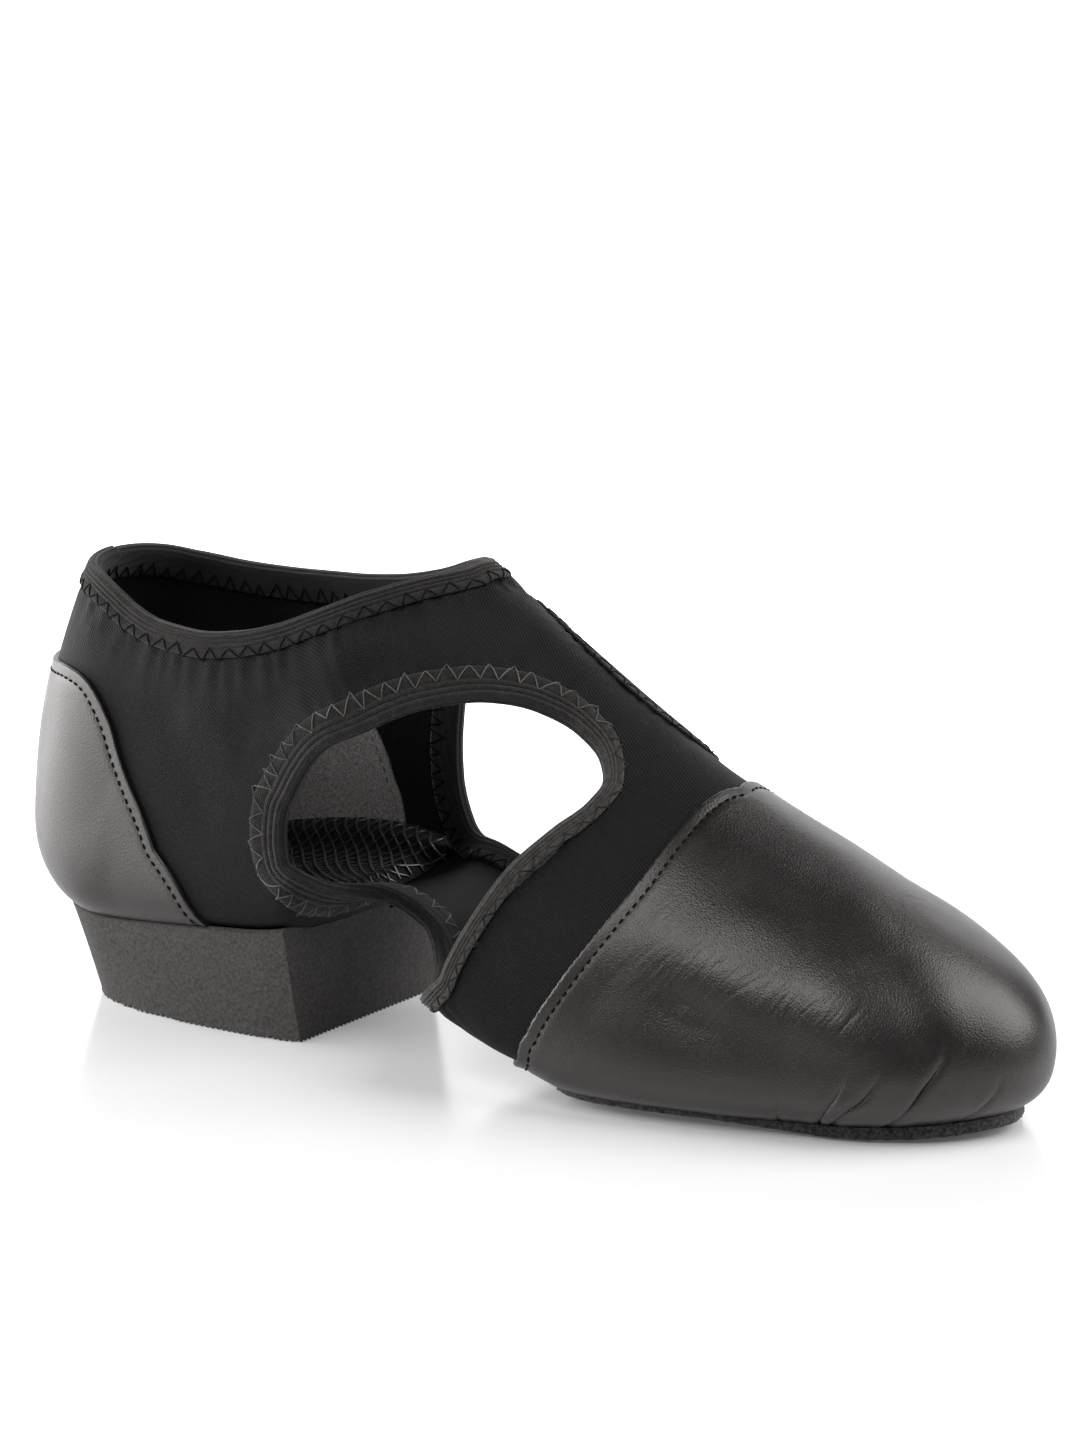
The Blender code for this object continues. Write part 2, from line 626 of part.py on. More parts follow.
def block_bottom(s, v):
    """The heel block's tread face: the rim drawn in to the smaller outline on the floor."""
    rows = cubic(s, KNOTS, STATIONS)
    angle = np.radians(rows[:, 1])
    rim_v, reach = heel_block(s)
    foot = np.stack([rows[:, 0] + reach * np.cos(angle), -reach * np.sin(angle)], -1)
    core = np.stack([rows[:, 0], spine(rows[:, 0])[:, 0]], -1)
    rim = on_last(s, rim_v)[:, :2]
    here = on_last(s, v)[:, :2]
    share = np.linalg.norm(here - core, axis=1) / np.linalg.norm(rim - core, axis=1)
    flat = core + np.clip(share, 0.0, 1.0)[:, None] * (foot - core)
    return np.column_stack([flat, np.zeros(len(s))])


def step_on_last(s, v, way, distance):
    """Walk on the last in a given direction and return the new place."""
    for _ in range(2):
        along, up = tangents(s, v)
        aa = (along * along).sum(-1)
        au = (along * up).sum(-1)
        uu = (up * up).sum(-1)
        wa = (way * along).sum(-1)
        wu = (way * up).sum(-1)
        det = np.maximum(aa * uu - au * au, 1e-9)
        s = s + 0.5 * distance * (wa * uu - wu * au) / det
        v = np.clip(v + 0.5 * distance * (wu * aa - wa * au) / det, 0.0, 2.0)
    return s, v


def clockwise(track):
    """A closed track turned so that the fabric lies on its left-hand side."""
    after = np.roll(track, -1, axis=0)
    area = (track[:, 0] * after[:, 1] - after[:, 0] * track[:, 1]).sum()
    if area > 0:
        return track[::-1].copy()
    return track.copy()


def into_fabric(track):
    """Edge points of a closed track, their normals and the direction from the edge into the fabric."""
    edge = on_last(track[:, 0], track[:, 1])
    up = normal(track[:, 0], track[:, 1])
    ahead = np.roll(edge, -1, axis=0) - np.roll(edge, 1, axis=0)
    inward = np.cross(up, ahead)
    inward /= np.linalg.norm(inward, axis=1, keepdims=True)
    return edge, up, inward


def tape_lines(track):
    """Middle line and far edge of the tape that binds a closed track."""
    inward = into_fabric(track)[2]
    lines = []
    for share in (0.5, 1.0):
        s, v = step_on_last(track[:, 0], track[:, 1], inward, share * TAPE_WIDTH)
        lines.append(np.stack([s, v], -1))
    return lines


def binding(name, track, lines, colour, rough):
    """Tape folded over an edge: a leg outside, a leg inside and the fold between them."""
    edge, up, inward = into_fabric(track)
    middle, far = lines
    deep = -WALL - TAPE_GAP
    fold = -TAPE_GAP - TAPE
    rings = [
        place(far[:, 0], far[:, 1], TAPE_GAP),
        place(far[:, 0], far[:, 1], TAPE_GAP + TAPE),
        place(middle[:, 0], middle[:, 1], TAPE_GAP + TAPE),
        edge + (TAPE_GAP + TAPE) * up - 0.1 * inward,
        edge - 0.2 * up + fold * inward,
        edge + (0.2 - WALL) * up + fold * inward,
        edge + (deep - TAPE) * up - 0.1 * inward,
        place(middle[:, 0], middle[:, 1], deep - TAPE),
        place(far[:, 0], far[:, 1], deep - TAPE),
        place(far[:, 0], far[:, 1], deep),
        place(middle[:, 0], middle[:, 1], deep),
        edge + deep * up - TAPE_GAP * inward,
        edge + TAPE_GAP * up - TAPE_GAP * inward,
        place(middle[:, 0], middle[:, 1], TAPE_GAP),
    ]
    count = len(track)
    points = np.vstack(rings)
    faces = []
    for k in range(len(rings)):
        this = k * count
        other = ((k + 1) % len(rings)) * count
        for i in range(count):
            j = (i + 1) % count
            faces.append((this + i, this + j, other + j, other + i))
    if signed_volume(points, faces) < 0:
        faces = [face[::-1] for face in faces]
    return add_object(name, points, faces, colour, rough)


def signed_volume(points, faces):
    total = 0.0
    for face in faces:
        for k in range(1, len(face) - 1):
            a, b, c = points[face[0]], points[face[k]], points[face[k + 1]]
            total += np.dot(a, np.cross(b, c))
    return total


def build():
    for old in list(bpy.data.objects):
        bpy.data.objects.remove(old, do_unlink=True)
    net = Net()
    sides = ("lateral", "medial")
    hole = net.region(net.cutout["lateral"]) | net.region(net.cutout["medial"])
    seat = net.region(*[close_below(net.seat[side], side) for side in sides])
    ball = net.region(net.ball)
    covered = ~(seat | ball)

    fabric = (0.012, 0.012, 0.013)
    leather = (0.020, 0.018, 0.017)
    tape = (0.030, 0.028, 0.027)
    solid(net, "upper", covered & ~hole, at(0.0), at(-WALL), fabric, 0.85)

    ridge = net.outline[np.abs(net.outline[:, 1] - 2.0) < 1e-9]
    seam_top = {side: net.seam[side][-1, 0] for side in sides}
    ridge = ridge[(ridge[:, 0] > seam_top["lateral"]) & (ridge[:, 0] < seam_top["medial"])]
    ridge = ridge[np.argsort(ridge[:, 0])]
    cap = np.vstack([net.seam["lateral"], ridge, net.seam["medial"][::-1]])
    cover = at(GAP + LEATHER)
    solid(net, "toe_cap", net.region(cap) & covered, cover, at(GAP), leather, 0.42)

    back = net.region(*[close_below(net.counter[side], side) for side in sides])
    solid(net, "heel_counter", back & covered, cover, at(GAP), leather, 0.42)

    sock = net.region(*[close_below(net.sock[side], side) for side in sides])
    pad_low = -WALL - TAPE_GAP - TAPE - GAP
    solid(net, "insole", sock, at(pad_low), at(pad_low - PAD), (0.010, 0.010, 0.010), 0.75)

    patch = net.region(net.patch)
    solid(net, "forefoot_sole", patch, patch_bottom, at(SEAT), (0.055, 0.050, 0.047), 0.95)

    block = net.region(*[close_below(net.block[side], side) for side in sides])
    solid(net, "heel", block, block_bottom, block_top, (0.045, 0.043, 0.041), 0.80)

    for edge, name in (
        ("collar", "collar_binding"),
        ("lateral", "cutout_binding_lateral"),
        ("medial", "cutout_binding_medial"),
    ):
        binding(name, net.edges[edge], net.tape[edge], tape, 0.80)


build()
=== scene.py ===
"""Looks of a split-sole slip-on dance shoe for the right foot, drawn on the same last as its solids.

A place on the last is (run, v). The run follows the widest line from the back of the heel along the
outer side to the toe and back along the inner side; v goes from 0 under the foot to 1 at the widest
height and 2 on top. Tables are in millimetres, x from the back of the heel, y inward, z up.
"""
import math

import bpy
import numpy as np
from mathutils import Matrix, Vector, kdtree
from mathutils.bvhtree import BVHTree
from mathutils.geometry import delaunay_2d_cdt


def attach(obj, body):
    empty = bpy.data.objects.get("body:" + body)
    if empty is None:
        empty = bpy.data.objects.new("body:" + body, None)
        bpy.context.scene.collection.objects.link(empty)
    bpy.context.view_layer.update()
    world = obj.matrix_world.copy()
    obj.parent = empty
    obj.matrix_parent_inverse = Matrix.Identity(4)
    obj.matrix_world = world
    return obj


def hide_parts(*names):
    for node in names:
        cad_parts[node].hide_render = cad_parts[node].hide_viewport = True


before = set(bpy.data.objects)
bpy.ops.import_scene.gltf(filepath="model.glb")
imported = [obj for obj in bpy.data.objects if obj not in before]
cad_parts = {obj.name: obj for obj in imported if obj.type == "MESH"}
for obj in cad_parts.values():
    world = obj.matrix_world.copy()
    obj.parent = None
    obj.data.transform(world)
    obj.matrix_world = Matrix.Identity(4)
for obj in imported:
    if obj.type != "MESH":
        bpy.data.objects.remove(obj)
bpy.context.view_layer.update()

MM = 0.001
MIDDLE = (123.1, 1.5)       # middle of the shoe's box in x and y, moved to the origin
SIDES = ("lateral", "medial")
WALL = 1.6                  # stretch fabric with its lining
LEATHER = 1.1               # toe cap and counter, over the fabric
TAPE_WIDTH = 6.0            # each leg of the folded tape
SEAT = 1.5                  # the heel block and the sole patch lie this far under the fabric
PAD_LOW = -2.0              # underside and top of the heel sock
PAD_TOP = -6.2
PAD_EDGE = 0.8              # the sock's thickness at its rim, and how far in it rounds up to its top
PAD_ROUND = 3.0
BREAST = 82.0               # flat front face of the heel block
HEEL_AXIS = 30.0            # stations turn about these two places
TOE_AXIS = 212.0
THROAT = 111.0              # front of the collar, on the ridge of the instep
PROFILE_SCALE = 50.0        # millimetres that one unit of v stands for in the flat net
PER_ROW = 14                # points that a smooth curve gets for each row of its table

# Centre lines of the last: under the foot and over the instep.
SPINE = np.array([
    # x, y under, z under, y top, z top
    (30, 0, 17.5, 0, 111),
    (45, 0, 18.8, 0, 114.5),
    (60, 1, 20.6, 0, 116.5),
    (75, 6, 22.2, 0.5, 116),
    (85, 12, 24.8, 1, 114.5),
    (95, 15, 29.2, 1, 111),
    (104, 13, 26, 1.5, 106.6),
    (113, 7, 17.5, 2, 101.8),
    (128, 3.5, 9.5, 2.5, 91.5),
    (145, 3.5, 5.2, 3.5, 80),
    (162, 4.5, 3.4, 4.5, 69),
    (180, 5, 3.4, 5, 59.6),
    (197, 5.5, 3.4, 5.5, 52),
    (212, 6, 3.8, 6, 44.8),
], float)
# Stations of the outer side. A turn of 180 points backward, 90 sideways, 0 forward.
LATERAL = np.array([
    # x, turn, reach, z widest, fullness below, fullness above
    (30, 180, 29.4, 40.0, 0.70, 0.46),
    (30, 150, 29.4, 40.0, 0.72, 0.47),
    (30, 122, 29.6, 40.0, 0.80, 0.52),
    (32, 102, 30.6, 40.0, 0.88, 0.56),
    (38, 90, 31.2, 40.0, 0.91, 0.59),
    (56, 90, 33.0, 40.0, 0.92, 0.62),
    (82, 90, 35.5, 41.0, 0.92, 0.60),
    (92, 90, 36.6, 45.5, 0.52, 0.57),
    (105, 90, 38.5, 36.0, 0.70, 0.52),
    (125, 90, 40.5, 27.0, 0.78, 0.46),
    (145, 90, 41.5, 18.0, 0.84, 0.44),
    (165, 90, 40.5, 14.5, 0.90, 0.46),
    (190, 90, 36.0, 14.0, 0.90, 0.52),
    (204, 90, 32.6, 14.3, 0.88, 0.53),
    (210, 78, 30.6, 14.6, 0.86, 0.54),
    (212, 58, 29.0, 15.0, 0.82, 0.52),
    (212, 30, 30.4, 16.0, 0.78, 0.49),
    (212, 0, 33.4, 16.0, 0.76, 0.48),
], float)
# Stations of the inner side, in the same columns.
MEDIAL = np.array([
    (30, 180, 29.4, 40.0, 0.70, 0.46),
    (30, 150, 29.4, 40.0, 0.72, 0.47),
    (30, 122, 29.6, 40.0, 0.80, 0.52),
    (32, 102, 30.4, 40.0, 0.88, 0.56),
    (38, 90, 30.8, 40.5, 0.91, 0.59),
    (56, 90, 32.0, 42.0, 0.91, 0.62),
    (82, 90, 31.5, 46.0, 0.88, 0.60),
    (105, 90, 31.0, 46.0, 0.76, 0.52),
    (125, 90, 32.5, 38.0, 0.74, 0.46),
    (145, 90, 35.0, 26.0, 0.80, 0.44),
    (165, 90, 36.5, 17.0, 0.88, 0.46),
    (190, 90, 35.0, 14.5, 0.90, 0.52),
    (204, 90, 32.4, 14.4, 0.88, 0.53),
    (210, 78, 31.6, 14.6, 0.86, 0.54),
    (212, 58, 30.6, 15.0, 0.82, 0.52),
    (212, 30, 31.7, 16.0, 0.78, 0.49),
    (212, 0, 33.4, 16.0, 0.76, 0.48),
], float)
# Height of the collar edge over x.
COLLAR = {
    "lateral": np.array([
        (-5, 95.5), (14, 95.0), (24, 94.0), (31, 92.0), (38, 89.3), (47, 87.3), (58, 86.8),
        (69, 88.2), (79, 91.0), (88, 94.8), (97, 98.8), (105, 101.4), (111, 102.6),
    ], float),
    "medial": np.array([
        (-5, 95.5), (14, 94.5), (23, 91.8), (34, 90.1), (47, 89.6), (60, 90.0),
        (73, 91.4), (84, 94.0), (97, 98.8), (105, 101.4), (111, 102.6),
    ], float),
}
# Edges of the arch cut-outs as loops of (x, v).
CUTOUT = {
    "lateral": [
        (84.2, 1.05), (84.8, 1.095), (86.8, 1.122), (90.5, 1.172), (98.9, 1.295), (109, 1.435), (118, 1.547),
        (127, 1.654), (136, 1.733), (145, 1.766), (151, 1.743), (154, 1.683), (153, 1.606), (148, 1.483),
        (142, 1.355), (136, 1.196), (130, 1.02), (125, 0.82), (120, 0.58), (115.5, 0.37), (112, 0.28),
        (108.5, 0.245), (105.5, 0.243), (102, 0.262), (99, 0.297), (96.2, 0.34), (93.8, 0.395), (92, 0.47),
        (91, 0.57), (90.3, 0.685), (89.5, 0.78), (88, 0.885), (85.7, 0.98),
    ],
    "medial": [
        (83.6, 1.06), (85, 1.16), (90, 1.30), (98, 1.42), (108, 1.535), (118, 1.64), (127, 1.725),
        (136, 1.782), (145, 1.812), (152, 1.79), (156, 1.724), (155, 1.632), (150, 1.49), (144, 1.347),
        (138, 1.184), (132, 1.01), (126, 0.84), (120, 0.69), (113, 0.58), (106, 0.535), (99.5, 0.53),
        (94, 0.575), (89.5, 0.70), (86.2, 0.85), (84.4, 0.96),
    ],
}
# Rear edge of the toe cap from under the foot up to the ridge, as (x, v).
TOE_CAP_SEAM = [
    (138, 0.0), (138.5, 0.25), (140, 0.42), (143.8, 0.58), (147, 0.75), (149.6, 0.98), (156.5, 1.164),
    (163, 1.328), (168, 1.492), (170.6, 1.676), (171.8, 1.832), (172.6, 1.927), (173.6, 2.0),
]
# Upper edge of the counter and edge of the felt lining as (run, v) from the back of the heel.
COUNTER_SEAM = [
    (0, 1.335), (14, 1.335), (27, 1.331), (36.5, 1.322), (45, 1.29), (51, 1.222), (58.5, 1.12),
    (66, 1.015), (72.5, 0.87), (77, 0.63), (79, 0.44), (79.5, 0.30),
]
FELT_EDGE = [
    (0, 1.30), (25, 1.30), (45, 1.28), (62, 1.22), (73, 1.15), (79.3, 1.094), (82.5, 1.039), (85.1, 0.968),
    (87.2, 0.821), (88.2, 0.60),
]
# Where the fabric stops under the foot, as (run, v) for the heel seat and (x, v) for the forefoot.
HEEL_OPENING = [(0, 0.30), (30, 0.30), (55, 0.30), (74, 0.30), (85, 0.26), (90, 0.14), (91, 0.0)]
FOREFOOT_OPENING = [(156, 0.0), (156.6, 0.15), (160, 0.27), (170, 0.33), (190, 0.34), (204, 0.33)]
FOREFOOT_TOE = [(80, 0.33), (40, 0.34), (0, 0.34)]
# Outline of the suede patch as (x, v) on the sides, then (turn, v) round the toe.
PATCH_SIDE = [(148.5, 0.0), (149, 0.28), (151.5, 0.45), (157, 0.53), (170, 0.55), (187, 0.53), (203, 0.485)]
PATCH_TOE = [(80, 0.465), (58, 0.47), (30, 0.52), (0, 0.55)]
PATCH_FLOOR = np.array([(140, 2.2), (150, 1.1), (160, 0.0), (206, 0.0), (226, 0.7), (246, 2.6)], float)
# Outline of the heel sock as (x, v) on each side; behind the first row its edge eases to the heel's level.
SOCK_HEEL = 0.62
SOCK_EASE = 74.0            # the run that this takes from the back of the heel
SOCK = {
    "lateral": [
        (60, 0.62), (70, 0.60), (76, 0.57), (80.5, 0.49), (82, 0.38), (81.4, 0.25), (80.2, 0.12), (79.6, 0.0),
    ],
    "medial": [
        (60, 0.85), (70, 0.82), (78, 0.77), (83.6, 0.70), (85.2, 0.62), (84, 0.52), (82, 0.40), (80.6, 0.26),
        (79.8, 0.12), (79.6, 0.0),
    ],
}
# The heel block over the run: how far up the half profile its rim reaches, and its reach at the floor.
HEEL_BLOCK = np.array([
    # run, rim v, reach from the middle line at the floor
    (0, 0.46, 10.5),
    (15.5, 0.465, 12.7),
    (30, 0.48, 17.7),
    (42.5, 0.505, 22.0),
    (55, 0.53, 25.1),
    (73, 0.555, 26.7),
    (88, 0.56, 26.5),
    (99.1, 0.56, 24.6),
], float)


def ease(share):
    """A share between 0 and 1 with soft ends."""
    share = np.clip(share, 0.0, 1.0)
    return share * share * (3 - 2 * share)


def between(u, h, rows, slope, i):
    """Place at a share u of the step after row i, which is h wide, with known slopes at both rows."""
    start = (2 * u**3 - 3 * u**2 + 1) * rows[i] + (u**3 - 2 * u**2 + u) * h * slope[i]
    return start + (3 * u**2 - 2 * u**3) * rows[i + 1] + (u**3 - u**2) * h * slope[i + 1]


def cubic(t, knots, rows):
    """Smooth curve through rows that never swings past them."""
    t = np.asarray(t, float)
    rows = np.asarray(rows, float)
    width = np.diff(knots)[:, None]
    rise = np.diff(rows, axis=0) / width
    slope = np.zeros_like(rows)
    slope[0] = rise[0]
    slope[-1] = rise[-1]
    before = 2 * width[1:] + width[:-1]
    after = width[1:] + 2 * width[:-1]
    same_way = rise[:-1] * rise[1:] > 0
    safe_0 = np.where(same_way, rise[:-1], 1.0)
    safe_1 = np.where(same_way, rise[1:], 1.0)
    slope[1:-1] = np.where(same_way, (before + after) / (before / safe_0 + after / safe_1), 0.0)
    i = np.clip(np.searchsorted(knots, t, side="right") - 1, 0, len(knots) - 2)
    h = (knots[i + 1] - knots[i])[..., None]
    return between((t - knots[i])[..., None] / h, h, rows, slope, i)


def spine(x):
    return cubic(np.clip(x, HEEL_AXIS, TOE_AXIS), SPINE[:, 0], SPINE[:, 1:])


def ring_of_stations():
    """Both station tables joined to one closed ring, with the run along the widest line."""
    back = MEDIAL[::-1][1:].copy()
    back[:, 1] *= -1
    rows = np.vstack([LATERAL, back])
    angle = np.radians(rows[:, 1])
    wide_x = rows[:, 0] + rows[:, 2] * np.cos(angle)
    wide_y = np.interp(rows[:, 0], SPINE[:, 0], SPINE[:, 3]) - rows[:, 2] * np.sin(angle)
    run = np.append(0.0, np.cumsum(np.hypot(np.diff(wide_x), np.diff(wide_y))))
    total = run[-1]
    head = rows[-4:-1].copy()
    head[:, 1] += 360
    tail = rows[1:4].copy()
    tail[:, 1] -= 360
    knots = np.concatenate([run[-4:-1] - total, run, run[1:4] + total])
    return knots, np.vstack([head, rows, tail]), total


KNOTS, STATIONS, TOTAL = ring_of_stations()
ALL_RUNS = np.linspace(0.0, TOTAL, 12001)
ALL_STATIONS = cubic(ALL_RUNS, KNOTS, STATIONS)


def station(s):
    """Row of the ring at a run, which may be counted backward from the heel as a negative number."""
    s = np.asarray(s, float)
    s = np.where(s > TOTAL, s - TOTAL, s)
    return cubic(np.where(s < -1.0, s + TOTAL, s), KNOTS, STATIONS)


def on_last(s, v):
    """Point of the last at run s and half profile v."""
    s, v = np.broadcast_arrays(np.asarray(s, float), np.asarray(v, float))
    x, turn, reach, z_wide, low, high = np.moveaxis(station(s), -1, 0)
    y_under, z_under, y_top, z_top = np.moveaxis(spine(x), -1, 0)
    cos = np.cos(np.radians(turn))
    sin = np.sin(np.radians(turn))
    ahead = np.clip(x + 0.01, HEEL_AXIS, TOE_AXIS)
    behind = np.clip(x - 0.01, HEEL_AXIS, TOE_AXIS)
    ridge_slope = (spine(ahead)[..., 3] - spine(behind)[..., 3]) / (ahead - behind)
    lean = np.where(x > THROAT, ridge_slope * high * reach * cos, 0.0)
    r_under = -sin * (y_under - y_top)
    below = v <= 1
    t = np.where(below, v, v - 1)
    b0 = (1 - t) ** 3
    b1 = 3 * t * (1 - t) ** 2
    b2 = 3 * t * t * (1 - t)
    b3 = t**3
    r_low = b0 * r_under + b1 * (r_under + low * (reach - r_under)) + (b2 + b3) * reach
    z_low = (b0 + b1) * z_under + b2 * (z_wide - low * (z_wide - z_under)) + b3 * z_wide
    r_high = (b0 + b1) * reach + b2 * high * reach
    z_high = b0 * z_wide + b1 * (z_wide + high * (z_top - z_wide)) + b2 * (z_top + lean) + b3 * z_top
    r = np.where(below, r_low, r_high)
    z = np.where(below, z_low, z_high)
    return np.stack([x + r * cos, y_top - r * sin, z], -1)


def tangents(s, v):
    v = np.clip(v, 0.004, 1.996)
    along = on_last(s + 0.1, v) - on_last(s - 0.1, v)
    up = on_last(s, v + 0.003) - on_last(s, v - 0.003)
    return along / 0.2, up / 0.006


def unit(rows):
    return rows / np.maximum(np.linalg.norm(rows, axis=-1, keepdims=True), 1e-12)


def points_of(track):
    return on_last(track[:, 0], track[:, 1])


def normal(s, v):
    along, up = tangents(np.asarray(s, float), np.asarray(v, float))
    return unit(np.cross(along, up))


def place(s, v, height):
    """Point at a height over the last, measured along its normal."""
    height = np.asarray(height, float)
    return on_last(s, v) + height[..., None] * normal(s, v)


def at_height(height):
    """One face of a shell, all at the same height over the last."""
    return lambda s, v: place(s, v, height)


def run_at(side, x):
    """Run of the station that stands at x on one side."""
    if side == "lateral":
        keep = (ALL_STATIONS[:, 1] >= 58) & (ALL_STATIONS[:, 1] <= 122)
    else:
        keep = (ALL_STATIONS[:, 1] <= -58) & (ALL_STATIONS[:, 1] >= -122)
    order = np.argsort(ALL_STATIONS[keep, 0], kind="stable")
    return np.interp(x, ALL_STATIONS[keep, 0][order], ALL_RUNS[keep][order])


def level(side, x, v):
    """Track along x on one side, all at one level of the profile."""
    return np.stack([run_at(side, x), np.full_like(x, v)], -1)


def run_at_turn(turn):
    return np.interp(-np.asarray(turn, float), -ALL_STATIONS[:, 1], ALL_RUNS)


def from_heel(side, run):
    """Run counted from the heel back on the side asked for; the inner side counts backward."""
    return np.asarray(run, float) * (1.0 if side == "lateral" else -1.0)


def lengths(points):
    return np.append(0.0, np.cumsum(np.linalg.norm(np.diff(points, axis=0), axis=1)))


def resample(track, step, closed=False):
    """The same track with even steps measured on the last."""
    track = np.asarray(track, float)
    if closed:
        track = np.vstack([track, track[:1]])
    way = lengths(points_of(track))
    count = max(2, int(round(way[-1] / step)) + 1)
    marks = np.linspace(0.0, way[-1], count)
    out = np.stack([np.interp(marks, way, track[:, 0]), np.interp(marks, way, track[:, 1])], -1)
    return out[:-1] if closed else out


def smooth(rows, closed=False):
    """Dense curve through a few rows of two columns."""
    rows = np.asarray(rows, float)
    if closed:
        rows = np.vstack([rows[-3:], rows, rows[:3]])
    chord = np.hypot(np.diff(rows[:, 0]), PROFILE_SCALE * np.diff(rows[:, 1]))
    way = np.append(0.0, np.cumsum(np.maximum(chord, 1e-6)))
    slope = np.gradient(rows, way, axis=0)
    first, last = (3, len(rows) - 3) if closed else (0, len(rows) - 1)
    share = (np.arange(PER_ROW) / PER_ROW)[:, None]
    dense = [between(share, way[i + 1] - way[i], rows, slope, i) for i in range(first, last)]
    return np.vstack(dense if closed else dense + [rows[-1:]])


def collar_edge(side, step):
    """Track of the collar from the back of the heel to the throat."""
    table = COLLAR[side]
    throat = run_at(side, THROAT)
    end = throat if side == "lateral" else TOTAL - throat
    s = from_heel(side, end * (1 - (1 - np.linspace(0.0, 1.0, 400)) ** 1.6))
    low = np.full_like(s, 1.0)
    high = np.full_like(s, 2.0)
    for _ in range(40):
        middle = 0.5 * (low + high)
        p = on_last(s, middle)
        above = p[:, 2] > cubic(np.clip(p[:, 0], -5, THROAT), table[:, 0], table[:, 1:])[:, 0]
        high = np.where(above, middle, high)
        low = np.where(above, low, middle)
    v = 0.5 * (low + high)
    v[-1] = 2.0
    return resample(np.stack([s, v], -1), step)


def cutout_edge(side, step):
    """Loop of an arch cut-out, turned so that the fabric lies on its left-hand side."""
    dense = smooth(CUTOUT[side], closed=True)
    dense[:, 0] = run_at(side, dense[:, 0])
    track = resample(dense, step, closed=True)
    after = np.roll(track, -1, axis=0)
    area = (track[:, 0] * after[:, 1] - after[:, 0] * track[:, 1]).sum()
    return track[::-1].copy() if area > 0 else track


def side_track(side, rows, step, by_run=False):
    dense = smooth(rows)
    dense[:, 1] = np.clip(dense[:, 1], 0.0, 2.0)
    dense[:, 0] = from_heel(side, dense[:, 0]) if by_run else run_at(side, dense[:, 0])
    return resample(dense, step)


def forefoot_line(rows, toe, step):
    """Track round the forefoot from the outer to the inner side."""
    turns = np.array([row[0] for row in toe] + [-row[0] for row in toe[-2::-1]], float)
    values = np.array([row[1] for row in toe] + [row[1] for row in toe[-2::-1]], float)
    round_toe = np.stack([run_at_turn(turns), values], -1)
    outer = side_track("lateral", rows, step)
    inner = side_track("medial", rows, step)[::-1]
    return resample(np.vstack([outer, round_toe, inner]), step)


def step_on_last(s, v, way, distance):
    """Walk on the last in a given direction and return the new place."""
    for _ in range(3):
        along, up = tangents(s, v)
        aa = (along * along).sum(-1)
        au = (along * up).sum(-1)
        uu = (up * up).sum(-1)
        wa = (way * along).sum(-1)
        wu = (way * up).sum(-1)
        det = np.maximum(aa * uu - au * au, 1e-9)
        s = s + distance / 3 * (wa * uu - wu * au) / det
        v = np.clip(v + distance / 3 * (wu * aa - wa * au) / det, 0.0, 2.0)
    return s, v


def aside(track, distance, toward):
    """An open track moved sideways on the last, to the side that looks toward a direction."""
    s, v = track[:, 0], track[:, 1]
    ahead = np.gradient(points_of(track), axis=0)
    way = unit(np.cross(normal(s, v), ahead))
    way = np.where(((way * toward).sum(-1) < 0)[:, None], -way, way)
    moved = np.stack(step_on_last(s, v, way, distance), -1)
    moved[v > 1.999, 1] = 2.0
    return moved


def inside(points, polygon):
    """Even-odd test of points against a closed track."""
    x = points[:, 0]
    y = points[:, 1]
    hit = np.zeros(len(points), bool)
    last = polygon[-1]
    for corner in polygon:
        crosses = (corner[1] > y) != (last[1] > y)
        rise = last[1] - corner[1]
        rise = rise if rise != 0 else 1e-12
        hit ^= crosses & (x < (last[0] - corner[0]) * (y - corner[1]) / rise + corner[0])
        last = corner
    return hit


def tree_of(points):
    tree = kdtree.KDTree(len(points))
    for i, p in enumerate(points):
        tree.insert(p, i)
    tree.balance()
    return tree


def nearest(points, line):
    """Index of the nearest place of a line, and the distance to it."""
    tree = tree_of(line)
    found = [tree.find(p) for p in points]
    return np.array([hit[1] for hit in found]), np.array([hit[2] for hit in found])


def level_lengths():
    """Length along each half profile from its widest place, as a table over run and v."""
    runs = np.linspace(-0.25 * TOTAL, TOTAL, 181)
    levels = np.linspace(0.0, 2.0, 121)
    grid = on_last(runs[:, None], levels[None, :])
    step = np.linalg.norm(np.diff(grid, axis=1), axis=2)
    length = np.concatenate([np.zeros((len(runs), 1)), np.cumsum(step, axis=1)], axis=1)
    return runs, levels, length - length[:, 60:61]


LENGTH_TABLE = level_lengths()


def cloth_uv(s, v):
    """Millimetres along the run and along the profile, which the weave follows."""
    runs, levels, length = LENGTH_TABLE
    a = np.clip((s - runs[0]) / (runs[1] - runs[0]), 0, len(runs) - 1.001)
    b = np.clip(v / (levels[1] - levels[0]), 0, len(levels) - 1.001)
    i, j = a.astype(int), b.astype(int)
    a, b = a - i, b - j
    low = (1 - b) * length[i, j] + b * length[i, j + 1]
    high = (1 - b) * length[i + 1, j] + b * length[i + 1, j + 1]
    return np.stack([s, (1 - a) * low + a * high], -1)


